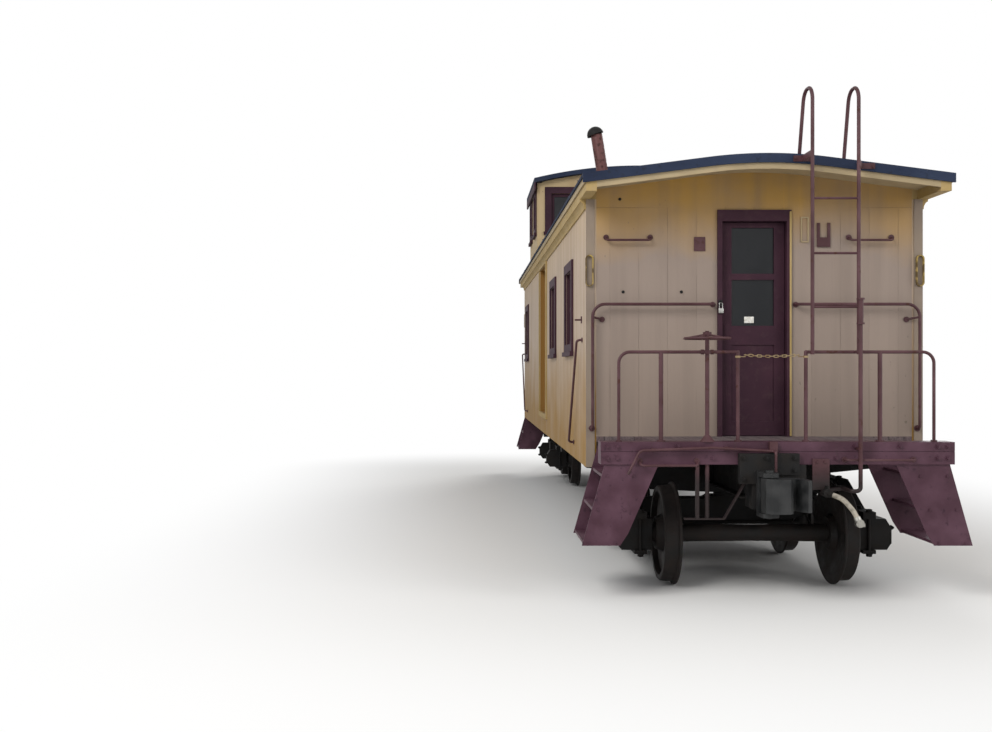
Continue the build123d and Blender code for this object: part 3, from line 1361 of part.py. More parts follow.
def spring(x, y):
    """A coil spring drawn as a stack of rings."""
    low = AXLE_Z - BOX_H / 2 + BAR_T
    high = bolster_z()[0] + BOLSTER_END_RISE - SEAT
    pitch = (high - low) / SPRING_COILS
    groove = SPRING_R - SPRING_GROOVE
    edge = [(0, low), (groove, low)]
    for coil in range(SPRING_COILS):
        z = low + coil * pitch
        edge += [(SPRING_R, z + 0.3 * pitch), (SPRING_R, z + 0.7 * pitch), (groove, z + pitch)]
    edge.append((0, high))
    return Pos(x, y, 0) * revolve(Plane.XZ * make_face(Polyline(*edge, close=True)), Axis.Z)


def truck_bolster():
    """The beam between the side frames, deepest in the middle, its ends on the springs."""
    low, high = bolster_z()
    end = FRAME_X + 95
    belly = 40
    crown = 24
    outline = [(0, low - belly), (520, low - belly), (780, low + BOLSTER_END_RISE),
               (end, low + BOLSTER_END_RISE),
               (end, high - belly), (700, high - crown), (240, high - crown), (200, high), (0, high)]
    side = across_plate(outline, BOLSTER_W / 2, BOLSTER_W)
    return side + across(side)


def brake_beam(side):
    """A beam across the truck with a shoe for each wheel, hung from the bolster."""
    axle = side * WHEELBASE / 2
    inner = TREAD_R + SHOE_GAP
    reach = inner + SHOE_T
    z = AXLE_Z - BEAM_DROP
    shoe_h = 340
    shoe_w = 120
    block_w = 60
    block_h = 80
    hanger_x = 690
    hanger_d = 22
    hanger_y = side * (BOLSTER_W / 2 + SEAT + hanger_d / 2)
    beam_y = axle - side * (math.sqrt(reach ** 2 - BEAM_DROP ** 2) + 20)
    beam = rod((-SHOE_X, beam_y, z), (SHOE_X, beam_y, z), BEAM_D)
    for x in (-1, 1):
        ring = disc(x * SHOE_X, axle, AXLE_Z, 2 * reach, SHOE_W, (0, 90, 0))
        ring -= disc(x * SHOE_X, axle, AXLE_Z, 2 * inner, 2 * SHOE_W, (0, 90, 0))
        slice_y = sorted((axle - side * (reach + PAST), axle - side * inner * 0.86))
        beam += ring & block(around(x * SHOE_X, shoe_w), slice_y, around(z, shoe_h))
        beam += block(around(x * SHOE_X, block_w), sorted((beam_y, axle - side * (reach - SHOE_T / 3))),
                      around(z, block_h))
        beam += bent_pipe([(x * hanger_x, beam_y, z), (x * hanger_x, hanger_y, z + 110),
                           (x * hanger_x, hanger_y, bolster_z()[1] - BEAM_DROP)], hanger_d, 25)
    return beam


def wheelset():
    """An axle with two wheels, turned in one piece. The profile is (along the axle, radius)."""
    tip = TREAD_R + FLANGE
    web = RIM_OUT - WEB_HOLLOW
    collar = BOX_IN - 2 * SWING
    outline = Polyline((0, 0), (0, AXLE_R - AXLE_WAIST), (HUB_IN, AXLE_R), (HUB_IN, HUB_R),
                       (RIM_IN + WEB_DISH, HUB_R + HUB_FLARE), (RIM_IN, TREAD_R - RIM_DEPTH),
                       (RIM_IN, tip - RIM_EDGE))
    outline += ThreePointArc((RIM_IN, tip - RIM_EDGE), (RIM_IN + FLANGE_T / 2, tip),
                             (RIM_IN + FLANGE_T, tip - RIM_EDGE))
    outline += Polyline((RIM_IN + FLANGE_T, tip - RIM_EDGE), (TREAD_IN + RIM_EDGE / 2, TREAD_R),
                        (RIM_OUT - RIM_EDGE, TREAD_R - TREAD_TAPER),
                        (RIM_OUT, TREAD_R - TREAD_TAPER - RIM_EDGE),
                        (RIM_OUT, TREAD_R - RIM_DEPTH), (web, TREAD_R - RIM_DEPTH - RIM_EDGE),
                        (web + RIM_EDGE, HUB_R + HUB_FLARE), (HUB_OUT - RIM_EDGE, HUB_R),
                        (HUB_OUT, HUB_R - RIM_EDGE), (HUB_OUT, AXLE_R), (collar, AXLE_R), (collar, JOURNAL_R),
                        (JOURNAL_END, JOURNAL_R), (JOURNAL_END, 0), (0, 0))
    half = revolve(Plane.XY * make_face(outline), Axis.X)
    return Pos(0, 0, AXLE_Z) * (half + across(half))


# Cabin walls, roof and floor
save("underframe", [underframe()])
save("side_sills", [side_sill(), across(side_sill())])
save("end_sills", both_ends([end_sill()]))
save("strikers", both_ends([striker()]))
save("floor_decks", [cabin_floor()] + both_ends([platform_deck()]))
save("side_wall_right", [side_wall()])
save("side_wall_left", [across(side_wall())])
save("end_wall_front", [end_wall()])
save("end_wall_rear", [other_end(end_wall())])
save("corner_boards", both_ends([corner_board(), across(corner_board())]))
save("roof_covering", [roof_covering()])
save("roof_boards", [roof_boards()])
save("eave_mouldings", [eave_moulding(), across(eave_moulding())])
save("cupola_fascias", [cupola_fascia(), across(cupola_fascia())])
save("cupola_walls", cupola_walls())
save("cupola_roof", [cupola_roof()])

# Windows
openings = windows()
save("window_casings", [place * window_casing(wide, high) for place, wide, high, rail in openings])
save("window_sashes", [place * window_sash(wide, high, rail) for place, wide, high, rail in openings])
save("window_glass",
     [place * pane for place, wide, high, rail in openings for pane in window_panes(wide, high, rail)])

# Doors
save("end_door_casings", both_ends([door_casing()] + door_pintles()))
save("end_door_front", [end_door()])
save("end_door_rear", [other_end(end_door())])
save("end_door_glass_front", end_door_glass())
save("end_door_glass_rear", [other_end(pane) for pane in end_door_glass()])
save("side_door_casings", [side_door_casing(), across(side_door_casing())])
save("side_door_right", [side_door()])
save("side_door_left", [across(side_door())])
save("side_door_tracks", [side_track(), across(side_track())])

# End platforms
save("platform_steps", both_ends([step_set(), across(step_set())]))
save("railings", both_ends(railing()))
save("brake_staffs", both_ends([brake_staff(), staff_stirrup()]))
save("roof_ladders", both_ends([ladder()]))
save("backup_pipes", both_ends([backup_pipe()]))
save("grab_irons", both_ends(grab_irons()))
save("cut_levers", both_ends([cut_lever()]))
save("end_brackets", both_ends(end_fittings()))
save("marker_brackets", both_ends([marker_bracket(), across(marker_bracket())]))
save("gate_chain", gate_chain() + chain_hooks())

# Couplers and air brake
save("couplers", both_ends([coupler()]))
save("knuckle_front", [knuckle()])
save("knuckle_rear", [other_end(knuckle())])
save("train_pipe", [train_pipe(PIPE_D)] + both_ends([angle_cock()]))
save("pipe_hangers", both_ends([pipe_hanger()]))
save("air_hose", [air_hose()])
save("hose_coupling", [hose_coupling()])
save("brake_gear", [reservoir(), brake_cylinder()])
save("smoke_pipe", [smoke_pipe()])
save("smoke_cap", [smoke_cap()])

# Trucks
for end, place in (("front", -TRUCK_Y), ("rear", TRUCK_Y)):
    at = Pos(0, place, 0)
    frames = [side_frame(), across(side_frame())]
    save(f"truck_frames_{end}", [at * frame for frame in frames])
    boxes = [journal_box(y) for y in (-WHEELBASE / 2, WHEELBASE / 2)]
    save(f"journal_boxes_{end}", [at * box for box in boxes + [across(box) for box in boxes]])
    springs = [spring(x, y) for x in (-FRAME_X, FRAME_X) for y in (-SPRING_Y, SPRING_Y)]
    save(f"truck_bolster_{end}", [at * piece for piece in [truck_bolster()] + springs])
    save(f"brake_beams_{end}", [at * brake_beam(side) for side in (-1, 1)])
    for name, y in (("outer", -WHEELBASE / 2), ("inner", WHEELBASE / 2)):
        along = y if end == "front" else -y
        save(f"wheelset_{end}_{name}", [Pos(0, place + along, 0) * wheelset()])

print("hose arc radii:", [round(radius) for radius in hose_radii()])
print("hose length:", round(FilletPolyline(*HOSE_ROUTE, radius=hose_radii()).length))
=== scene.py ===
import math
import random

import bmesh
import bpy
from mathutils import Matrix, Vector


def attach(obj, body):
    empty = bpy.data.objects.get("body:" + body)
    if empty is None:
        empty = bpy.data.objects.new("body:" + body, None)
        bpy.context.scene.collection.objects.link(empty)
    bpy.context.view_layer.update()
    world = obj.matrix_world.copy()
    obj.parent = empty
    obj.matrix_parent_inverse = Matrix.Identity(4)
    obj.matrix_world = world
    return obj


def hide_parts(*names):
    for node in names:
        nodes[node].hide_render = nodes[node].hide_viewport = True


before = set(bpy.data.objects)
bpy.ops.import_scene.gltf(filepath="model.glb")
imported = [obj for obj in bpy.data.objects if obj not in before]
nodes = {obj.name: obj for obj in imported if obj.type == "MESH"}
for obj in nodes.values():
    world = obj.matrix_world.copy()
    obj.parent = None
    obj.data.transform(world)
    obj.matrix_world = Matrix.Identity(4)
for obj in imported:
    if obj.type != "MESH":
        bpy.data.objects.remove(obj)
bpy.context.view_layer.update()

# A wooden cupola caboose in weathered cream and maroon paint. Metres, in the frame of the CAD:
# X to the right seen from the photographed end, Y along the car away from it, Z up from the
# flanges.

scene = bpy.context.scene

# Heights and places shared by the pieces below
RAIL = 0.028
WALL_Y = 5.180          # outer face of the end walls
SILL_Y = 5.940          # outer face of the end sills
POST_Y = 5.895          # railing posts and brake staffs
HALF_WIDTH = 1.460      # outer face of the side walls
WALL = 0.090
FLOOR = RAIL + 1.267
EAVE = RAIL + 3.325
SEAT = 0.0003           # gap between two solids that lie on each other
ROOF_TOP = RAIL + 3.634
ROOF_HALF_W = 1.5375
ROOF_END = 5.690
ROOF_CROWN_R = 3.900    # the middle of the roof is an arc, and straight slopes go on from it
ROOF_SLOPE = math.radians(7.3)
CUPOLA_Y = (1.44, 3.50)
FRIEZE_Z = 3.283        # joint under the top board of the end walls
WINDOWS_Y = 2.9         # middle and half length of the stretch of wall with the side windows
WINDOWS_HALF = 1.9
DOORWAY_Y = 0.27        # middle and half length of the side doorway with its edges
DOORWAY_HALF = 0.66
CASING_T = 0.020        # of the end doors' casings
DOOR_Y = WALL_Y - 0.044     # outer face of the end doors
DOOR_T = 0.040
TRUCK_Y = 4.240
HALF_WHEELBASE = 0.838
AXLE_Z = 0.447
FRAME_X = 0.990         # middle of the trucks' side frames
BOX_HALF_HEIGHT = 0.135     # of the journal boxes
BOX_LID_X = 1.200
CYLINDER_AT = (0.680, -0.584, 1.030)    # middle of the brake cylinder's front head

# Camera, where the photograph was taken from
IMAGE_W = 992
IMAGE_H = 732
FOCAL_PX = 1150
VANISHING_PX = (465.5, 369.0)   # where lines along the car's length meet in the picture
CAMERA_AT = (-2.505, -15.163, 1.881)

camera_data = bpy.data.cameras.new("camera")
camera_data.sensor_width = 36
camera_data.lens = 36 * FOCAL_PX / IMAGE_W
camera = bpy.data.objects.new("camera", camera_data)
camera.location = CAMERA_AT
camera.rotation_euler = (math.radians(90), 0, 0)
camera_data.shift_x = (IMAGE_W / 2 - VANISHING_PX[0]) / IMAGE_W
camera_data.shift_y = (VANISHING_PX[1] - IMAGE_H / 2) / IMAGE_W
scene.collection.objects.link(camera)
scene.camera = camera


# Tools for materials and trees
def linear(code):
    """The linear colour that Blender works in, from an sRGB hex value."""
    parts = [int(code[i:i + 2], 16) / 255 for i in (0, 2, 4)]
    lit = [p / 12.92 if p <= 0.04045 else ((p + 0.055) / 1.055) ** 2.4 for p in parts]
    return (*lit, 1.0)


def add(tree, kind, inputs=None, out=0, **settings):
    """Adds a node with its settings, sets or links its inputs and returns one of its outputs."""
    node = tree.nodes.new(kind)
    for name, value in settings.items():
        setattr(node, name, value)
    for name, value in (inputs or {}).items():
        for one in value if isinstance(value, list) else [value]:
            if isinstance(one, bpy.types.NodeSocket):
                tree.links.new(one, node.inputs[name])
            else:
                node.inputs[name].default_value = one
    return node.outputs[out] if node.outputs else node


def start(name):
    """A new material, its tree and the object coordinates it reads."""
    mat = bpy.data.materials.new(name)
    mat.use_nodes = True
    mat.node_tree.nodes.clear()
    return mat, mat.node_tree, add(mat.node_tree, "ShaderNodeTexCoord", out="Object")


def blotches(tree, place, millimetres, low=0.0, high=1.0, stretch=(1, 1, 1), detail=4.0):
    """Patches of one size: 0 where the noise is under low, 1 where it is over high."""
    spread = add(tree, "ShaderNodeMapping", {"Vector": place, "Scale": stretch})
    field = add(tree, "ShaderNodeTexNoise",
                {"Vector": spread, "Scale": 1000 / millimetres, "Detail": detail})
    return add(tree, "ShaderNodeMapRange", {"Value": field, "From Min": low, "From Max": high})


def coat(tree, under, over, where, share=1.0):
    """Lays a colour over another where a mask says, up to a share of its strength."""
    amount = add(tree, "ShaderNodeMath", {0: where, 1: share}, operation="MULTIPLY")
    return add(tree, "ShaderNodeMix", {0: amount, 6: under, 7: linear(over)}, out=2,
               data_type="RGBA")


def close(mat, colour, roughness, relief=None, depth=0.001, **settings):
    """Ends a material in its shader, with a bump of that depth in metres."""
    tree = mat.node_tree
    inputs = {"Base Color": colour, "Roughness": roughness}
    inputs.update({name.replace("_", " "): value for name, value in settings.items()})
    if relief is not None:
        inputs["Normal"] = add(tree, "ShaderNodeBump",
                               {"Height": relief, "Distance": depth, "Strength": 1.0})
    add(tree, "ShaderNodeOutputMaterial", {"Surface": add(tree, "ShaderNodeBsdfPrincipled", inputs)})
    return mat


def board_joints(tree, along, pitch, joint):
    """Upright boards: 1 in the joints between them, and a shade of its own for each board."""
    count = add(tree, "ShaderNodeMath", {0: along, 1: pitch}, operation="DIVIDE")
    board = add(tree, "ShaderNodeMath", {0: count}, operation="FLOOR")
    shade = add(tree, "ShaderNodeTexWhiteNoise", {"W": board}, noise_dimensions="1D")
    edge = add(tree, "ShaderNodeMath", {0: count, 1: 0.5}, operation="PINGPONG")
    ends = {"Value": edge, "From Max": joint / pitch, "To Min": 1.0, "To Max": 0.0}
    return add(tree, "ShaderNodeMapRange", ends), shade


# How strongly old paint, dust and dusty glass reflect, half of what a clean surface does
DULL = 0.25
# How far the paint is sheltered down from the eave, and the stretch above the floor in which the
# colour that it has low down sets in
SHELTERED = 0.62
LOW_DOWN = (1.15, -0.1)


# Oil paint on upright tongued boards. It is matt and chalky, each board takes it a little
# differently, the joints are dark and rain has streaked it. It is yellow where the roof shelters
# the end walls and ochre low on the sides. The cut edges of the side windows are maroon, like
# their casings, and those of the side doorway ochre.
def painted_boards(name, sheltered, faded, low_down, dirt, along, pitch, frieze=None, reveals=None):
    mat, tree, place = start(name)
    axes = add(tree, "ShaderNodeSeparateXYZ", {"Vector": place}).node.outputs
    joint, shade = board_joints(tree, axes[along], pitch, joint=0.0028)
    swollen = blotches(tree, place, 420, 0.32, 0.6)
    joint = add(tree, "ShaderNodeMath", {0: joint, 1: swollen}, operation="MULTIPLY")
    if frieze:
        below = add(tree, "ShaderNodeMapRange",
                    {"Value": axes["Z"], "From Min": frieze + 0.001, "From Max": frieze})
        joint = add(tree, "ShaderNodeMath", {0: joint, 1: below}, operation="MULTIPLY")
        line = add(tree, "ShaderNodeMath", {0: axes["Z"], 1: frieze, 2: 0.003}, operation="COMPARE")
        out = add(tree, "ShaderNodeMath", {0: axes[along]}, operation="ABSOLUTE")
        out = add(tree, "ShaderNodeMapRange",
                  {"Value": out, "From Min": 0.75, "From Max": 1.15, "To Max": 0.8})
        line = add(tree, "ShaderNodeMath", {0: line, 1: out}, operation="MULTIPLY")
        joint = add(tree, "ShaderNodeMath", {0: joint, 1: line}, operation="MAXIMUM")
    patches = blotches(tree, place, 700, 0.35, 0.7)
    height = add(tree, "ShaderNodeMapRange",
                 {"Value": axes["Z"], "From Min": EAVE - SHELTERED, "From Max": EAVE})
    worn = add(tree, "ShaderNodeMath", {0: patches, 1: 0.45}, operation="MULTIPLY")
    kept = add(tree, "ShaderNodeMath", {0: height, 1: worn}, operation="SUBTRACT", use_clamp=True)
    low = add(tree, "ShaderNodeMapRange", {"Value": axes["Z"], "From Min": FLOOR + LOW_DOWN[0],
                                           "From Max": FLOOR + LOW_DOWN[1], "To Max": 1.2})
    low = add(tree, "ShaderNodeMath", {0: low, 1: worn}, operation="SUBTRACT", use_clamp=True)
    colour = coat(tree, linear(faded), sheltered, kept)
    colour = coat(tree, colour, low_down, low)
    colour = coat(tree, colour, dirt, shade, 0.2)
    streaks = blotches(tree, place, 160, 0.5, 0.95, stretch=(1, 1, 0.05))
    colour = coat(tree, colour, dirt, streaks, 0.55)
    colour = coat(tree, colour, dirt, blotches(tree, place, 1400, 0.45, 0.75), 0.25)
    chips = blotches(tree, place, 26, 0.69, 0.72, stretch=(1, 1, 0.45), detail=8)
    sunny = blotches(tree, place, 900, 0.5, 0.62)
    bare = add(tree, "ShaderNodeMath", {0: chips, 1: sunny}, operation="MULTIPLY")
    colour = coat(tree, colour, "6f6457", bare)
    colour = coat(tree, colour, "6a5a49", joint, 0.4)
    if reveals:
        skin = 0.002    # the outer face keeps its paint
        depth = add(tree, "ShaderNodeMath", {0: axes["X"]}, operation="ABSOLUTE")
        inside = add(tree, "ShaderNodeMath", {0: depth, 1: HALF_WIDTH - (WALL + skin) / 2,
                                              2: (WALL - skin) / 2}, operation="COMPARE")
        beside = add(tree, "ShaderNodeMath", {0: axes["Y"]}, operation="ABSOLUTE")
        doorway = add(tree, "ShaderNodeMath", {0: axes["Y"], 1: DOORWAY_Y, 2: DOORWAY_HALF},
                      operation="COMPARE")
        window = add(tree, "ShaderNodeMath", {0: beside, 1: WINDOWS_Y, 2: WINDOWS_HALF},
                     operation="COMPARE")
        for opening, paint in ((doorway, reveals[1]), (window, reveals[0])):
            cut = add(tree, "ShaderNodeMath", {0: inside, 1: opening}, operation="MULTIPLY")
            colour = coat(tree, colour, paint, cut)
    grain = blotches(tree, place, 9, stretch=(1, 1, 0.06), detail=6)
    relief = add(tree, "ShaderNodeMath", {0: joint, 1: -3.0, 2: grain}, operation="MULTIPLY_ADD")
    relief = add(tree, "ShaderNodeMath", {0: bare, 1: -1.2, 2: relief}, operation="MULTIPLY_ADD")
    rough = add(tree, "ShaderNodeMapRange", {"Value": streaks, "To Min": 0.62, "To Max": 0.8})
    return close(mat, colour, rough, relief, 0.0009, Specular_IOR_Level=DULL)


# Oil paint on planed joinery: its gloss is gone, so it keeps its depth of colour and only gets
# dusty and faded in patches.
def painted_joinery(name, paint, faded, grain_stretch=(1, 1, 0.06), dusting=0.3):
    mat, tree, place = start(name)
    colour = coat(tree, linear(paint), faded, blotches(tree, place, 300, 0.4, 0.75))
    dust = blotches(tree, place, 60, 0.55, 0.8, detail=7)
    colour = coat(tree, colour, "8a7a72", dust, dusting)
    brush = blotches(tree, place, 7, stretch=grain_stretch, detail=5)
    rough = add(tree, "ShaderNodeMapRange", {"Value": dust, "To Min": 0.7, "To Max": 0.9})
    return close(mat, colour, rough, brush, 0.0005, Specular_IOR_Level=DULL)


# Brushed enamel on forged iron: dull, bled through with rust in patches and pitted under it.
# What hangs under the sills is darkened to near black: painted shade under the sills, and brake
# dust.
def painted_iron(name, paint, faded, rust="43281f", rusting=0.6, shade_and_dust_below=(1.12, 0.96)):
    mat, tree, place = start(name)
    colour = coat(tree, linear(paint), faded, blotches(tree, place, 240, 0.4, 0.7))
    patches = blotches(tree, place, 55, rusting, rusting + 0.12, detail=8)
    colour = coat(tree, colour, rust, patches, 0.8)
    runs = blotches(tree, place, 30, 0.62, 0.8, stretch=(1, 1, 0.08))
    colour = coat(tree, colour, "3a2d2a", runs, 0.5)
    # Below the sills the colour turns near black: painted shade under the sills, and brake dust.
    if shade_and_dust_below:
        height = add(tree, "ShaderNodeSeparateXYZ", {"Vector": place}, out="Z")
        dust = add(tree, "ShaderNodeMapRange",
                   {"Value": height, "From Min": shade_and_dust_below[0], "From Max": shade_and_dust_below[1]})
        colour = coat(tree, colour, "211c1b", dust, 0.9)
    pits = add(tree, "ShaderNodeMath",
               {0: blotches(tree, place, 6, 0.3, 0.8, detail=6), 1: patches}, operation="MULTIPLY")
    rough = add(tree, "ShaderNodeMapRange", {"Value": patches, "To Min": 0.48, "To Max": 0.85})
    return close(mat, colour, rough, pits, 0.0006, Specular_IOR_Level=DULL)


# Rolled mineral roofing: dark blue-grey grit, paler where the sun bleached it. The grit is
# drawn at 5 mm, coarser than the real 1 mm, so that it shows at all. On the cupola the laps are
# too low to be modelled, so the relief draws them.
def mineral_roofing(name, first_lap=None, lap_pitch=0.65):
    mat, tree, place = start(name)
    colour = coat(tree, linear("1b2338"), "303a50", blotches(tree, place, 900, 0.35, 0.7))
    grit = blotches(tree, place, 5, 0.3, 0.75, detail=3)
    colour = coat(tree, colour, "1a1f2b", grit, 0.5)
    stains = blotches(tree, place, 350, 0.58, 0.75, stretch=(0.3, 1, 1), detail=6)
    colour = coat(tree, colour, "56524c", stains, 0.35)
    tar = blotches(tree, place, 45, 0.6, 0.7, detail=7)
    colour = coat(tree, colour, "1c1d22", tar, 0.5)
    relief = grit
    if first_lap is not None:
        along = add(tree, "ShaderNodeSeparateXYZ", {"Vector": place}, out="Y")
        along = add(tree, "ShaderNodeMath", {0: along, 1: first_lap}, operation="SUBTRACT")
        along = add(tree, "ShaderNodeMath", {0: along, 1: lap_pitch / 2}, operation="PINGPONG")
        lap = add(tree, "ShaderNodeMapRange",
                  {"Value": along, "From Min": 0.040, "From Max": 0.036})
        colour = coat(tree, colour, "23252c", lap, 0.5)
        relief = add(tree, "ShaderNodeMath", {0: lap, 1: 3.0, 2: grit}, operation="MULTIPLY_ADD")
    return close(mat, colour, 0.92, relief, 0.0012, Specular_IOR_Level=DULL)


# Bare floor planks walked grey: raised grain, dark gaps and old paint in the hollows.
def worn_planks(name, pitch):
    mat, tree, place = start(name)
    axes = add(tree, "ShaderNodeSeparateXYZ", {"Vector": place}).node.outputs
    gap, shade = board_joints(tree, axes["X"], pitch, 0.005)
    grain = blotches(tree, place, 12, 0.3, 0.7, stretch=(1, 0.05, 1), detail=7)
    colour = coat(tree, linear("3d3436"), "6a5d5b", grain)
    colour = coat(tree, colour, "54393f", shade, 0.4)
    colour = coat(tree, colour, "15110f", gap)
    relief = add(tree, "ShaderNodeMath", {0: gap, 1: -4.0, 2: grain}, operation="MULTIPLY_ADD")
    return close(mat, colour, 0.85, relief, 0.0012)


# Cast and rolled iron under brake dust: nearly black, brown where the dust is thick, rough.
def dusty_iron(name, black, dust, share=0.5, roughness=0.75, metallic=0.0, gloss=DULL):
    mat, tree, place = start(name)
    thick = blotches(tree, place, 130, share - 0.1, share + 0.22, detail=7)
    colour = coat(tree, linear(black), dust, thick)
    sand = blotches(tree, place, 5, 0.3, 0.8, detail=4)
    rough = add(tree, "ShaderNodeMapRange",
                {"Value": thick, "To Min": roughness - 0.15, "To Max": roughness + 0.1})
    return close(mat, colour, rough, sand, 0.0007, Metallic=metallic, Specular_IOR_Level=gloss)


# Old window glass, wavy, with dust on it that blurs what it reflects. It is tinted near black as
# painted shade of the dark cabin behind it.
def window_glass(name):
    mat, tree, place = start(name)
    film = blotches(tree, place, 200, 0.4, 0.8, detail=6)
    rough = add(tree, "ShaderNodeMapRange", {"Value": film, "To Min": 0.28, "To Max": 0.5})
    wave = blotches(tree, place, 90, detail=1)
    # The near-black tint is painted shade standing in for the dark cabin behind the glass.
    return close(mat, linear("12161d"), rough, wave, 0.0006, Transmission_Weight=0.6, IOR=1.5,
                 Specular_IOR_Level=DULL)


# Reinforced rubber hose: black gone grey with age, faintly ribbed by its wrapping.
def aged_rubber(name):
    mat, tree, place = start(name)
    colour = coat(tree, linear("5a544b"), "a39b8c", blotches(tree, place, 40, 0.25, 0.6, detail=6))
    return close(mat, colour, 0.7, blotches(tree, place, 4), 0.0004)


# Zinc-plated steel of a padlock and its shackle: pale, soft reflections, dulled in spots.
def zinc_plate(name, tone):
    mat, tree, place = start(name)
    colour = coat(tree, linear(tone), "6c6a66", blotches(tree, place, 14, 0.5, 0.8))
    return close(mat, colour, 0.38, blotches(tree, place, 3), 0.0001, Metallic=1.0)


# Vinyl film stuck on a pane: smooth, white, yellowed and scuffed by the weather.
def vinyl_film(name):
    mat, tree, place = start(name)
    colour = coat(tree, linear("d8d6cf"), "b9b3a4", blotches(tree, place, 18, 0.4, 0.75, detail=6))
    return close(mat, colour, 0.4, blotches(tree, place, 6), 0.0001)


# The end walls take a darker copy of the sides' cream paint: painted shade over the ends, on top of
# their greyer fade.
END_BOARDS_WITH_PAINTED_SHADE = painted_boards("oil_paint_on_end_boards_with_painted_shade", "ac8643", "8d7e73", "8a7a6e", "6e6158",
                            "X", 0.250, frieze=FRIEZE_Z)
SIDE_BOARDS = painted_boards("oil_paint_on_side_boards", "b7a083", "b3a08e", "8c6826", "866c44",
                             "Y", 0.083, reveals=("3a1f28", "86602a"))
CUPOLA_BOARDS = painted_boards("oil_paint_on_cupola_boards", "b9a27a", "b8a488", "b9a27a", "94784e",
                               "Y", 0.083)
CORNER_TRIM = painted_joinery("cream_oil_paint_on_corners", "857768", "796b61")
CREAM_TRIM = painted_joinery("cream_oil_paint_on_roof_ends", "a49272", "948366", (0.06, 1, 1))
YELLOW_TRIM = painted_joinery("yellow_oil_paint_on_mouldings", "9a8250", "a89064", (1, 0.06, 1))
MAROON_WOOD = painted_joinery("maroon_oil_paint_on_joinery", "2e1421", "3a1e2a", dusting=0.08)
BROWN_BOARDS = painted_boards("oil_paint_on_sliding_doors", "6a4f31", "775d3e", "6a5138", "5a452f",
                              "Y", 0.130)
MAROON_IRON = painted_iron("maroon_enamel_on_iron", "43282b", "573b3f")
CREAM_IRON = painted_iron("cream_enamel_on_iron", "a08848", "958055", "3d2c22", rusting=0.44)
SILL_PAINT = painted_iron("maroon_enamel_on_sills", "412631", "553945", "32202a", rusting=0.62,
                          shade_and_dust_below=None)
ROOFING = mineral_roofing("mineral_roofing")
CUPOLA_ROOFING = mineral_roofing("mineral_roofing_on_the_cupola", first_lap=1.82)
PLANKS = worn_planks("worn_floor_planks", 0.130)
BLACK_IRON = dusty_iron("brake_dust_on_iron", "0d0c0c", "1e1a17")
WHEEL_STEEL = dusty_iron("rust_on_wheel_steel", "110f0e", "241d1a", share=0.45, roughness=0.7)
CAST_STEEL = dusty_iron("weathered_cast_steel", "1c1d1e", "363636", roughness=0.6, metallic=0.4,
                        gloss=0.5)
GLASS = window_glass("window_glass")
RUBBER = aged_rubber("aged_hose_rubber")
CHAIN_STEEL = painted_iron("rust_stained_chain", "8d7a5a", "a38f6c", "6b4a2d", rusting=0.55)
STACK_IRON = painted_iron("rusty_stove_pipe", "5a3634", "68423f", "33241f", rusting=0.52)
PADLOCK = zinc_plate("zinc_plated_padlock", "b9b8b4")
HOSE_IRON = zinc_plate("zinc_plated_hose_coupling", "a5a39c")
FILM = vinyl_film("weathered_vinyl_film")

finish_of = {
    "end_wall_front": END_BOARDS_WITH_PAINTED_SHADE, "end_wall_rear": END_BOARDS_WITH_PAINTED_SHADE,
    "side_wall_left": SIDE_BOARDS, "side_wall_right": SIDE_BOARDS, "cupola_walls": CUPOLA_BOARDS,
    "corner_boards": CORNER_TRIM, "roof_boards": CREAM_TRIM, "eave_mouldings": YELLOW_TRIM,
    "side_door_casings": YELLOW_TRIM,
    "side_door_left": BROWN_BOARDS, "side_door_right": BROWN_BOARDS,
    "cupola_fascias": MAROON_WOOD, "window_casings": MAROON_WOOD, "window_sashes": MAROON_WOOD,
    "end_door_casings": MAROON_WOOD, "end_door_front": MAROON_WOOD, "end_door_rear": MAROON_WOOD,
    "roof_covering": ROOFING, "cupola_roof": CUPOLA_ROOFING, "floor_decks": PLANKS,
    "marker_brackets": CREAM_IRON,
    "end_sills": SILL_PAINT, "platform_steps": SILL_PAINT,
    "window_glass": GLASS, "end_door_glass_front": GLASS, "end_door_glass_rear": GLASS,
    "gate_chain": CHAIN_STEEL, "smoke_pipe": STACK_IRON, "smoke_cap": BLACK_IRON,
    "air_hose": RUBBER, "hose_coupling": HOSE_IRON,
    "couplers": CAST_STEEL, "knuckle_front": CAST_STEEL, "knuckle_rear": CAST_STEEL,
    "strikers": BLACK_IRON, "train_pipe": BLACK_IRON, "brake_gear": BLACK_IRON,
    "underframe": BLACK_IRON, "side_sills": BLACK_IRON, "side_door_tracks": BLACK_IRON,
}
for name, node in nodes.items():
    if name.startswith("wheelset"):
        finish = WHEEL_STEEL
    elif name.startswith(("truck_", "journal_boxes", "brake_beams")):
        finish = BLACK_IRON
    else:
        finish = finish_of.get(name, MAROON_IRON)
    for slot in node.material_slots:
        slot.material = finish


# The air hose, along the same points as its solid
HOSE_D = 0.040
HOSE_ROUTE = [(0.41076, -6.04985, 0.88004), (0.459, -6.112, 0.864), (0.499, -6.163, 0.808),
              (0.526, -6.195, 0.766), (0.541, -6.213, 0.724)]


def air_hose():
    """The brake hose as a cord along its route, one curve with caps."""
    curve = bpy.data.curves.new("brake_hose", "CURVE")
    curve.dimensions = "3D"
    curve.bevel_depth = HOSE_D / 2
    curve.bevel_resolution = 5
    curve.use_fill_caps = True
    line = curve.splines.new("NURBS")
    line.points.add(len(HOSE_ROUTE) - 1)
    for point, at in zip(line.points, HOSE_ROUTE):
        point.co = (*at, 1.0)
    line.order_u = 3
    line.use_endpoint_u = True
    line.resolution_u = 16
    curve.materials.append(RUBBER)
    hose = bpy.data.objects.new("brake_hose", curve)
    scene.collection.objects.link(hose)
    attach(hose, "car_body")
    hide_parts("air_hose")


air_hose()


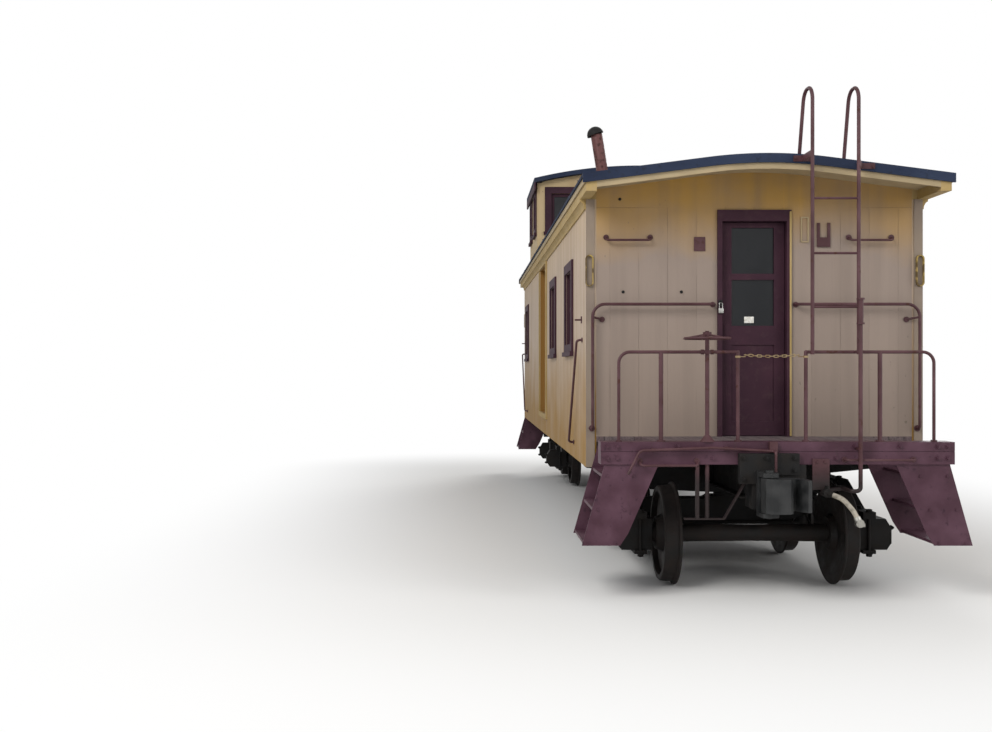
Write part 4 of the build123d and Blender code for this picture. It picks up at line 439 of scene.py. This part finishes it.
# Shapes of the pieces that are made one by one
def slab(form, low, high, edge):
    """Adds a box with rounded edges."""
    low, high = Vector(low), Vector(high)
    part = bmesh.new()
    size = Matrix.Diagonal((*(high - low), 1.0))
    bmesh.ops.create_cube(part, size=1.0, matrix=Matrix.Translation((low + high) / 2) @ size)
    bmesh.ops.bevel(part, geom=part.edges[:], offset=edge, segments=2, affect="EDGES", profile=0.6)
    take_over(form, part)


def turned(form, profile, at, axis, steps=24):
    """Adds a shape turned about an axis through a place, its profile (along the axis, radius)."""
    part = bmesh.new()
    turn = Vector((0, 0, 1)).rotation_difference(Vector(axis)).to_matrix().to_4x4()
    points = [part.verts.new((radius, 0, along)) for along, radius in profile]
    edges = [part.edges.new(pair) for pair in zip(points, points[1:])]
    bmesh.ops.spin(part, geom=points + edges, cent=(0, 0, 0), axis=(0, 0, 1), angle=2 * math.pi,
                   steps=steps, use_merge=True)
    bmesh.ops.remove_doubles(part, verts=part.verts[:], dist=1e-5)
    bmesh.ops.transform(part, matrix=Matrix.Translation(at) @ turn, verts=part.verts[:])
    take_over(form, part)


def wire(form, points, radius):
    """Adds a round iron bent along points, each bend a short curve."""
    curve = bpy.data.curves.new("wire", "CURVE")
    curve.dimensions = "3D"
    curve.bevel_depth = radius
    curve.bevel_resolution = 3
    curve.use_fill_caps = True
    line = curve.splines.new("NURBS")
    line.points.add(len(points) - 1)
    for point, at in zip(line.points, points):
        point.co = (*at, 1.0)
    line.order_u = 3
    line.use_endpoint_u = True
    line.resolution_u = 6
    holder = bpy.data.objects.new("wire", curve)
    mesh = bpy.data.meshes.new_from_object(holder)
    form.from_mesh(mesh)
    bpy.data.objects.remove(holder)
    bpy.data.meshes.remove(mesh)


def take_over(form, part):
    """Moves a finished part into a form."""
    mesh = bpy.data.meshes.new("part")
    part.to_mesh(mesh)
    part.free()
    form.from_mesh(mesh)
    bpy.data.meshes.remove(mesh)


def keep(name, mesh, body):
    """Links a finished mesh as a piece that rides on a body."""
    mesh.name = name
    piece = bpy.data.objects.new(name, mesh)
    scene.collection.objects.link(piece)
    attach(piece, body)
    return piece


def shaped(name, form, finish, body):
    """Turns a form into a piece, its normals outwards and its faces smooth up to a sharp edge."""
    bmesh.ops.remove_doubles(form, verts=form.verts[:], dist=1e-6)
    bmesh.ops.recalc_face_normals(form, faces=form.faces[:])
    mesh = bpy.data.meshes.new(name)
    form.to_mesh(mesh)
    form.free()
    mesh.materials.append(finish)
    mesh.shade_smooth()
    mesh.set_sharp_from_angle(angle=math.radians(35))
    return keep(name, mesh, body)


# Geometry Nodes for what repeats
def new_tree(name, sizes):
    """A tree with a geometry input and output, and a named input for each size and the material."""
    tree = bpy.data.node_groups.new(name, "GeometryNodeTree")
    tree.interface.new_socket("Geometry", in_out="INPUT", socket_type="NodeSocketGeometry")
    for label, value in sizes.items():
        kind = "NodeSocketInt" if isinstance(value, int) else "NodeSocketFloat"
        tree.interface.new_socket(label, in_out="INPUT", socket_type=kind).default_value = value
    tree.interface.new_socket("Finish", in_out="INPUT", socket_type="NodeSocketMaterial")
    tree.interface.new_socket("Geometry", in_out="OUTPUT", socket_type="NodeSocketGeometry")
    return tree, add(tree, "NodeGroupInput").node.outputs


def end_tree(tree, geometry, finish):
    """Ends a tree with one real mesh in its material."""
    solid = add(tree, "GeometryNodeRealizeInstances", {"Geometry": geometry})
    painted = add(tree, "GeometryNodeSetMaterial", {"Geometry": solid, "Material": finish})
    add(tree, "NodeGroupOutput", {"Geometry": painted})
    return tree


def fastener_tree():
    """A washer, a head and the end of the bolt on each point, square to the way it faces."""
    tree, sizes = new_tree("bolted_points", {
        "Head width": 0.03, "Head height": 0.016, "Head sides": 6, "Washer width": 0.045,
        "Washer height": 0.003, "Bolt width": 0.015, "Bolt height": 0.022})
    solids = []
    for part, sides in (("Washer", 16), ("Head", sizes["Head sides"]), ("Bolt", 10)):
        radius = add(tree, "ShaderNodeMath", {0: sizes[part + " width"], 1: 0.5},
                     operation="MULTIPLY")
        height = sizes[part + " height"]
        lift = add(tree, "ShaderNodeMath", {0: height, 1: 0.5}, operation="MULTIPLY")
        drum = add(tree, "GeometryNodeMeshCylinder",
                   {"Vertices": sides, "Radius": radius, "Depth": height})
        up = add(tree, "ShaderNodeCombineXYZ", {"Z": lift})
        solids.append(add(tree, "GeometryNodeTransform", {"Geometry": drum, "Translation": up}))
    bolt = add(tree, "GeometryNodeJoinGeometry", {"Geometry": solids})
    facing = add(tree, "GeometryNodeInputNamedAttribute", {"Name": "facing"},
                 data_type="FLOAT_VECTOR")
    spin = add(tree, "FunctionNodeRandomValue", {"Min": 0.0, "Max": math.pi / 3, "Seed": 4},
               out="Value", data_type="FLOAT")
    about = add(tree, "ShaderNodeCombineXYZ", {"Z": spin})
    loose = add(tree, "FunctionNodeEulerToRotation", {"Euler": about})
    square = add(tree, "FunctionNodeAlignRotationToVector", {"Rotation": loose, "Vector": facing},
                 axis="Z")
    bolts = add(tree, "GeometryNodeInstanceOnPoints",
                {"Points": sizes["Geometry"], "Instance": bolt, "Rotation": square})
    return end_tree(tree, bolts, sizes["Finish"])


def lap_tree():
    """Strips of roofing lapped across a roof at a pitch, nailed down, with a gap for the cupola."""
    tree, sizes = new_tree("lapped_roofing", {
        "First": -5.25, "Pitch": 0.9, "Count": 13, "Strip width": 0.075, "Strip height": 0.004,
        "Nail pitch": 0.075, "Nail width": 0.013, "Nail height": 0.0045,
        "Gap middle": 100.0, "Gap half": 0.0})
    section = add(tree, "GeometryNodeCurvePrimitiveQuadrilateral",
                  {"Width": sizes["Strip width"], "Height": sizes["Strip height"]},
                  mode="RECTANGLE")
    strip = add(tree, "GeometryNodeCurveToMesh",
                {"Curve": sizes["Geometry"], "Profile Curve": section, "Fill Caps": True})
    marks = add(tree, "GeometryNodeResampleCurve",
                {"Curve": sizes["Geometry"], "Length": sizes["Nail pitch"]}, mode="LENGTH")
    radius = add(tree, "ShaderNodeMath", {0: sizes["Nail width"], 1: 0.5}, operation="MULTIPLY")
    nail = add(tree, "GeometryNodeMeshCylinder",
               {"Vertices": 8, "Radius": radius, "Depth": sizes["Nail height"]})
    lift = add(tree, "ShaderNodeCombineXYZ", {"Z": sizes["Strip height"]})
    nail = add(tree, "GeometryNodeTransform", {"Geometry": nail, "Translation": lift})
    nails = add(tree, "GeometryNodeInstanceOnPoints", {"Points": marks, "Instance": nail})
    lap = add(tree, "GeometryNodeJoinGeometry", {"Geometry": [strip, nails]})
    begin = add(tree, "ShaderNodeCombineXYZ", {"Y": sizes["First"]})
    step = add(tree, "ShaderNodeCombineXYZ", {"Y": sizes["Pitch"]})
    row = add(tree, "GeometryNodeMeshLine",
              {"Count": sizes["Count"], "Start Location": begin, "Offset": step}, mode="OFFSET")
    spot = add(tree, "GeometryNodeInputPosition")
    along = add(tree, "ShaderNodeSeparateXYZ", {"Vector": spot}, out="Y")
    near = add(tree, "ShaderNodeMath", {0: along, 1: sizes["Gap middle"], 2: sizes["Gap half"]},
               operation="COMPARE")
    row = add(tree, "GeometryNodeDeleteGeometry", {"Geometry": row, "Selection": near},
              domain="POINT")
    laps = add(tree, "GeometryNodeInstanceOnPoints", {"Points": row, "Instance": lap})
    return end_tree(tree, laps, sizes["Finish"])


def grown(name, base, tree, sizes, finish, body):
    """Runs a tree on a base and keeps the result as a plain mesh."""
    holder = bpy.data.objects.new(name, base)
    scene.collection.objects.link(holder)
    modifier = holder.modifiers.new(name, "NODES")
    modifier.node_group = tree
    for socket in tree.interface.items_tree:
        if socket.in_out == "INPUT" and socket.name in sizes:
            modifier[socket.identifier] = sizes[socket.name]
        if socket.name == "Finish":
            modifier[socket.identifier] = finish
    seen = holder.evaluated_get(bpy.context.evaluated_depsgraph_get())
    mesh = bpy.data.meshes.new_from_object(seen)
    holder.modifiers.clear()
    bpy.data.objects.remove(holder)
    return keep(name, mesh, body)


def facing_points(places):
    """A mesh of loose points, each with the way that it faces."""
    mesh = bpy.data.meshes.new("places")
    mesh.from_pydata([at for at, way in places], [], [])
    ways = mesh.attributes.new("facing", "FLOAT_VECTOR", "POINT")
    for one, (at, way) in zip(ways.data, places):
        one.vector = way
    return mesh


def both_ends(places):
    """The same points and ways at the other end, turned about the middle of the car."""
    return places + [((-x, -y, z), (-u, -v, w)) for (x, y, z), (u, v, w) in places]


def both_sides(places):
    """The same points and ways on the other side of the car."""
    return places + [((-x, y, z), (-u, v, w)) for (x, y, z), (u, v, w) in places]


def roof_height(x):
    """The top of the main roof at a distance from the middle of the car."""
    centre = ROOF_TOP - ROOF_CROWN_R
    if abs(x) < ROOF_CROWN_R * math.sin(ROOF_SLOPE):
        return centre + math.sqrt(ROOF_CROWN_R ** 2 - x ** 2)
    return centre + (ROOF_CROWN_R - abs(x) * math.sin(ROOF_SLOPE)) / math.cos(ROOF_SLOPE)


OUT = (0, -1, 0)        # away from the car at the photographed end
UP = (0, 0, 1)
DOWN = (0, 0, -1)
RIGHT = (1, 0, 0)
BOLTS = fastener_tree()
NUT = {"Head width": 0.034, "Head height": 0.017, "Head sides": 6, "Washer width": 0.050,
       "Washer height": 0.003, "Bolt width": 0.018, "Bolt height": 0.026}
BIG_NUT = {"Head width": 0.052, "Head height": 0.024, "Head sides": 6, "Washer width": 0.064,
           "Washer height": 0.004, "Bolt width": 0.028, "Bolt height": 0.0265}
CARRIAGE_BOLT = {"Head width": 0.022, "Head height": 0.007, "Head sides": 14, "Washer width": 0.027,
                 "Washer height": 0.0025, "Bolt width": 0.014, "Bolt height": 0.009}
SCREW = {"Head width": 0.009, "Head height": 0.0025, "Head sides": 10, "Washer width": 0.011,
         "Washer height": 0.001, "Bolt width": 0.005, "Bolt height": 0.003}
ROOF_NAIL = {"Head width": 0.011, "Head height": 0.002, "Head sides": 8, "Washer width": 0.013,
             "Washer height": 0.001, "Bolt width": 0.006, "Bolt height": 0.0025}


def sill_bolts():
    """Nuts on the end sills, in pairs at the corners and single ones between them."""
    face = -SILL_Y
    places = [((x, face, z), OUT) for x in (-1.365, -1.285, 1.285, 1.365) for z in (1.165, 1.258)]
    places += [((x, face, 1.262), OUT) for x in (-0.80, 0.62, 0.98)]
    places += [((x, face, 1.165), OUT) for x in (-0.52, 0.47)]
    return both_ends(places)


def striker_bolts():
    """Bolts through the ears of the strikers."""
    nose = -SILL_Y - 0.062
    places = [((x, nose, z), OUT) for x in (-0.287, -0.105) for z in (1.005, 1.172)]
    places += [((0.118, nose, z), OUT) for z in (1.072, 1.172)]
    return both_ends(places)


def hanger_bolts():
    """Bolts of the train pipe's hangers."""
    plate = -SILL_Y - SEAT - 0.012
    return both_ends([((x, plate, 1.136), OUT) for x in (0.313, 0.375)])


def step_bolts():
    """Two bolts through the outer plate at each tread of the steps."""
    face = -SILL_Y + 0.015
    places = []
    for z, inner, outer in ((0.479, 1.300, 1.515), (0.749, 1.225, 1.440), (1.019, 1.150, 1.365)):
        places += [((inner, face, z), OUT), ((outer, face, z), OUT)]
    return both_ends(both_sides(places))


def rail_foot_screws():
    """Four screws in each round foot on the platforms."""
    top = FLOOR + SEAT + 0.012
    places = []
    feet = ((-0.930, 0.036), (0.835, 0.036), (-0.310, 0.030), (0.238, 0.030), (-1.270, 0.026),
            (1.270, 0.026))
    for x, radius in feet:
        for quarter in range(4):
            angle = math.radians(45 + 90 * quarter)
            reach = radius * 0.80
            places.append(((x + reach * math.cos(angle), -POST_Y + reach * math.sin(angle), top),
                           UP))
    return both_ends(places)


def iron_foot_screws():
    """Two screws in each round foot of the grab irons, either side of the iron."""
    face = -WALL_Y - SEAT - 0.010
    feet = [(-1.285, 3.023), (-0.903, 3.023), (0.820, 3.023), (1.189, 3.023),
            (0.360, 2.440), (-0.360, 2.440), (1.320, 2.311), (-1.320, 2.311)]
    sill = -SILL_Y - SEAT - 0.010
    sill_feet = [(0.534, 1.154), (1.085, 1.154), (-1.108, 1.145), (-0.650, 1.145)]
    places = [((x + side * 0.0185, face, z), OUT) for x, z in feet for side in (-1, 1)]
    places += [((x, sill, z + side * 0.0165), OUT) for x, z in sill_feet for side in (-1, 1)]
    return both_ends(places)


def wall_bolts():
    """Single bolts through the end walls."""
    spots = ((-1.165, 3.355), (-1.137, 2.550), (-0.631, 2.550))
    return both_ends([((x, -WALL_Y, z), OUT) for x, z in spots])


def ladder_bolts():
    """Bolts through the irons on the ends of the roof."""
    face = -ROOF_END - SEAT - 0.008
    spots = (0.213, 0.336, 0.762, 0.850)
    return both_ends([((x, face, roof_height(x) - 0.040), OUT) for x in spots])


def band_nails():
    """Nails through the roofing where it is turned down over the ends and both eaves."""
    chance = random.Random(7)
    places = []
    for number in range(16):
        x = -1.47 + 0.196 * number + chance.uniform(-0.03, 0.03)
        places.append(((x, -ROOF_END, roof_height(x) - chance.uniform(0.020, 0.034)), OUT))
    places = both_ends(places)
    for number in range(44):
        y = -5.60 + 0.26 * number + chance.uniform(-0.03, 0.03)
        if not CUPOLA_Y[0] < y < CUPOLA_Y[1]:
            z = roof_height(ROOF_HALF_W) - 0.014
            places += both_sides([((ROOF_HALF_W, y, z), RIGHT)])
    return places


def brake_gear_bolts():
    """A ring of nuts on the head of the brake cylinder."""
    x, y, z = CYLINDER_AT
    reach = 0.163
    angles = [math.radians(45 * number + 22.5) for number in range(8)]
    return [((x + reach * math.cos(angle), y, z + reach * math.sin(angle)), OUT)
            for angle in angles]


def truck_bolts(middle):
    """Nuts on the box bolts and column bolts of a truck's side frames, above and below."""
    bar_t = 0.030       # two bars over a journal box, one under it
    high = AXLE_Z + BOX_HALF_HEIGHT + SEAT + 2 * bar_t
    low = AXLE_Z - BOX_HALF_HEIGHT - SEAT - bar_t
    column_top = 0.858
    tops = [(axle + beside, high)
            for axle in (-HALF_WHEELBASE, HALF_WHEELBASE) for beside in (-0.127, 0.127)]
    tops += [(column, column_top) for column in (-0.166, 0.166)]
    places = []
    for y, top in tops:
        places += [((FRAME_X, middle + y, top), UP), ((FRAME_X, middle + y, low), DOWN)]
    return both_sides(places)


def box_bolts(middle):
    """The hinge and latch bolts on the lids of a truck's journal boxes."""
    places = []
    for axle in (-HALF_WHEELBASE, HALF_WHEELBASE):
        for y, z in ((-0.066, 0.052), (0.066, 0.052), (0.0, -0.072)):
            places.append(((BOX_LID_X, middle + axle + y, AXLE_Z + z), RIGHT))
    return both_sides(places)


for name, places, sizes, finish, body, slot in (
        ("sill_nuts", sill_bolts(), NUT, SILL_PAINT, "car_body", "maroon_iron"),
        ("striker_nuts", striker_bolts(), NUT, BLACK_IRON, "car_body", "black_iron"),
        ("hanger_bolts", hanger_bolts(), CARRIAGE_BOLT, MAROON_IRON, "car_body", "maroon_iron"),
        ("step_bolts", step_bolts(), CARRIAGE_BOLT, SILL_PAINT, "car_body", "maroon_iron"),
        ("rail_foot_screws", rail_foot_screws(), SCREW, MAROON_IRON, "car_body", "maroon_iron"),
        ("iron_foot_screws", iron_foot_screws(), SCREW, MAROON_IRON, "car_body", "maroon_iron"),
        ("wall_bolts", wall_bolts(), CARRIAGE_BOLT, BLACK_IRON, "car_body", "black_iron"),
        ("ladder_bolts", ladder_bolts(), CARRIAGE_BOLT, MAROON_IRON, "car_body", "maroon_iron"),
        ("roof_band_nails", band_nails(), ROOF_NAIL, ROOFING, "car_body", "roof_felt"),
        ("brake_cylinder_bolts", brake_gear_bolts(), NUT, BLACK_IRON, "car_body", "black_iron"),
        ("truck_nuts_front", truck_bolts(-TRUCK_Y), BIG_NUT, BLACK_IRON, "truck_front",
         "black_iron"),
        ("truck_nuts_rear", truck_bolts(TRUCK_Y), BIG_NUT, BLACK_IRON, "truck_rear", "black_iron"),
        ("box_lid_bolts_front", box_bolts(-TRUCK_Y), NUT, BLACK_IRON, "truck_front", "black_iron"),
        ("box_lid_bolts_rear", box_bolts(TRUCK_Y), NUT, BLACK_IRON, "truck_rear", "black_iron")):
    grown(name, facing_points(places), BOLTS, sizes, finish, body)


def roof_line(half, lift, steps):
    """The line across the main roof that a lap strip follows."""
    curve = bpy.data.curves.new("roof_line", "CURVE")
    curve.dimensions = "3D"
    line = curve.splines.new("POLY")
    line.points.add(steps)
    for number, point in enumerate(line.points):
        x = half * (2 * number / steps - 1)
        point.co = (x, 0, roof_height(x) + lift, 1)
    return curve


grown("roof_laps", roof_line(ROOF_HALF_W - 0.001, lift=0.0021, steps=44), lap_tree(),
      {"Gap middle": sum(CUPOLA_Y) / 2, "Gap half": 1.0}, ROOFING, "car_body")


# Pieces at the end doors
def padlock():
    """The hasp on the left of the front door's casing with its padlock."""
    face = -WALL_Y - SEAT - CASING_T
    x, z = -0.296, 2.449
    hasp = bmesh.new()
    slab(hasp, (x - 0.017, face - 0.003, z - 0.030), (x + 0.017, face, z + 0.030), 0.0012)
    wire(hasp, [(x, face - 0.002, z + 0.014), (x, face - 0.020, z + 0.014),
                (x, face - 0.020, z - 0.014), (x, face - 0.002, z - 0.014)], 0.003)
    for side in (-1, 1):
        turned(hasp, [(0, 0), (0, 0.005), (0.0015, 0.005), (0.003, 0.003), (0.003, 0)],
               (x, face - 0.003, z + side * 0.023), OUT, 12)
    shaped("door_hasp", hasp, BLACK_IRON, "car_body")
    lock = bmesh.new()
    slab(lock, (x - 0.022, face - 0.026, z - 0.085), (x + 0.022, face - 0.008, z - 0.043), 0.005)
    wire(lock, [(x - 0.014, face - 0.017, z - 0.046), (x - 0.014, face - 0.017, z - 0.010),
                (x - 0.014, face - 0.017, z + 0.004), (x + 0.014, face - 0.017, z + 0.004),
                (x + 0.014, face - 0.017, z - 0.010), (x + 0.014, face - 0.017, z - 0.046)], 0.0035)
    turned(lock, [(0, 0), (0, 0.006), (0.001, 0.006), (0.0015, 0.004), (0.0015, 0)],
           (x, face - 0.026, z - 0.066), OUT, 14)
    shaped("padlock", lock, PADLOCK, "car_body")


def door_locks(end, sign):
    """A lock plate on each face of an end door, painted over outside, with a turned knob inside."""
    x, z = sign * 0.232, FLOOR + 0.930
    knob = [(0, 0), (0, 0.016), (0.006, 0.015), (0.010, 0.009), (0.024, 0.008), (0.030, 0.020),
            (0.040, 0.026), (0.050, 0.024), (0.056, 0.014), (0.058, 0)]
    for side, way, face, finish, slot in (("out", sign, DOOR_Y, MAROON_WOOD, "maroon_wood"),
                                          ("in", -sign, DOOR_Y - DOOR_T, BLACK_IRON, "black_iron")):
        form = bmesh.new()
        y = sign * face
        ends = sorted((y, y + way * 0.003))
        slab(form, (x - 0.020, ends[0], z - 0.085), (x + 0.020, ends[1], z + 0.045), 0.0012)
        if side == "in":
            turned(form, knob, (x, y, z), (0, way, 0), 20)
        shaped("door_lock_" + end + "_" + side, form, finish, "end_door_" + end)


def door_film():
    """The blank square of film stuck to the front door's glass."""
    glass_t = 0.005
    pane = -DOOR_Y + DOOR_T / 2 - glass_t / 2
    form = bmesh.new()
    slab(form, (-0.071, pane - 0.0005, 2.283), (0.013, pane - 0.0001, 2.338), 0.0001)
    shaped("film_on_glass", form, FILM, "end_door_front")


def casing_lath():
    """The narrow yellow lath down the right edge of the front door's casing."""
    face = -WALL_Y - SEAT - CASING_T
    form = bmesh.new()
    slab(form, (0.3035, face - 0.003, FLOOR + 0.004), (0.3205, face - 0.0001, FLOOR + 1.952), 0.001)
    shaped("door_casing_lath", form, YELLOW_TRIM, "car_body")


def frame_bracket(end, sign):
    """The cream frame beside the ladder, an upright rectangle of bar."""
    face = -WALL_Y - SEAT
    low, high = 2.979, 3.200
    near, far = 0.404, 0.472
    bar = 0.010
    form = bmesh.new()
    ends = sorted((sign * near, sign * far))
    y = sorted((sign * face, sign * (face - bar)))
    for z in (low, high - bar):
        slab(form, (ends[0], y[0], z), (ends[1], y[1], z + bar), 0.0015)
    for x in (ends[0], ends[1] - bar):
        slab(form, (x, y[0], low + bar * 0.5), (x + bar, y[1], high - bar * 0.5), 0.0015)
    shaped("frame_bracket_" + end, form, CREAM_TRIM, "car_body")


def side_door_handle(side, sign):
    """The pull on the inner face of a sliding door."""
    form = bmesh.new()
    x, y, z = sign * 1.329, -0.240, FLOOR + 1.02
    out = x - sign * 0.050
    wire(form, [(x, y, z - 0.11), (out, y, z - 0.11), (out, y, z - 0.075), (out, y, z + 0.075),
                (out, y, z + 0.11), (x, y, z + 0.11)], 0.008)
    ends = sorted((x, x - sign * 0.004))
    for foot in (z - 0.11, z + 0.11):
        slab(form, (ends[0], y - 0.022, foot - 0.022), (ends[1], y + 0.022, foot + 0.022), 0.0015)
    shaped("side_door_pull_" + side, form, BLACK_IRON, "side_door_" + side)


padlock()
door_film()
casing_lath()
for end, sign in (("front", -1), ("rear", 1)):
    door_locks(end, sign)
    frame_bracket(end, -sign)
for side, sign in (("left", -1), ("right", 1)):
    side_door_handle(side, sign)


# Stage: a pale floor that fades to white away from the car, a white surround and soft lamps
CAR_REACH = (1.6, 6.3, 0)       # the floor's fading starts from this box about the car


def stage():
    """The floor and the surround."""
    floor_mesh = bpy.data.meshes.new("floor")
    form = bmesh.new()
    bmesh.ops.create_grid(form, x_segments=1, y_segments=1, size=60)
    form.to_mesh(floor_mesh)
    form.free()
    floor = bpy.data.objects.new("floor", floor_mesh)
    scene.collection.objects.link(floor)
    mat, tree, place = start("pale_studio_floor")
    rays = add(tree, "ShaderNodeLightPath").node.outputs
    beside = add(tree, "ShaderNodeVectorMath", {0: place}, out="Vector", operation="ABSOLUTE")
    beside = add(tree, "ShaderNodeVectorMath", {0: beside, 1: CAR_REACH}, out="Vector",
                 operation="SUBTRACT")
    beside = add(tree, "ShaderNodeVectorMath", {0: beside, 1: (0, 0, 0)}, out="Vector",
                 operation="MAXIMUM")
    away = add(tree, "ShaderNodeVectorMath", {0: beside}, out="Value", operation="LENGTH")
    fade = add(tree, "ShaderNodeMapRange", {"Value": away, "From Min": 0.3, "From Max": 5.0},
               interpolation_type="SMOOTHSTEP")
    fade = add(tree, "ShaderNodeMath", {0: fade, 1: rays["Is Camera Ray"]}, operation="MULTIPLY")
    matt = add(tree, "ShaderNodeBsdfDiffuse", {"Color": linear("e8e6e2")})
    white = add(tree, "ShaderNodeEmission", {"Color": (1, 1, 1, 1), "Strength": 1.0})
    mixed = add(tree, "ShaderNodeMixShader", {0: fade, 1: matt, 2: white})
    add(tree, "ShaderNodeOutputMaterial", {"Surface": mixed})
    floor_mesh.materials.append(mat)

    world = bpy.data.worlds.new("surround")
    scene.world = world
    world.use_nodes = True
    tree = world.node_tree
    tree.nodes.clear()
    rays = add(tree, "ShaderNodeLightPath").node.outputs
    seen = add(tree, "ShaderNodeMath", {0: rays["Is Glossy Ray"], 1: rays["Is Transmission Ray"]},
               operation="MAXIMUM")
    seen = add(tree, "ShaderNodeMath", {0: seen, 1: rays["Is Camera Ray"]}, operation="MAXIMUM")
    lit = add(tree, "ShaderNodeBackground", {"Color": linear("eef1f6"), "Strength": 0.62})
    white = add(tree, "ShaderNodeBackground", {"Color": (1, 1, 1, 1), "Strength": 1.0})
    pick = add(tree, "ShaderNodeMixShader", {0: seen, 1: lit, 2: white})
    add(tree, "ShaderNodeOutputWorld", {"Surface": pick})


def lamp(name, at, aim, size, watts):
    """One round lamp that points at a place."""
    data = bpy.data.lights.new(name, "AREA")
    data.shape = "DISK"
    data.size = size
    data.energy = watts
    obj = bpy.data.objects.new(name, data)
    obj.location = at
    obj.rotation_euler = (Vector(aim) - Vector(at)).to_track_quat("-Z", "Y").to_euler()
    scene.collection.objects.link(obj)


stage()
lamp("key", (-9, -14, 10), (0, -3, 1.6), 7, 1400)
lamp("fill", (10, -12, 6), (0, -3, 1.6), 8, 600)
lamp("back", (6, 14, 9), (0, 2, 2), 8, 900)

scene.view_settings.view_transform = "Standard"
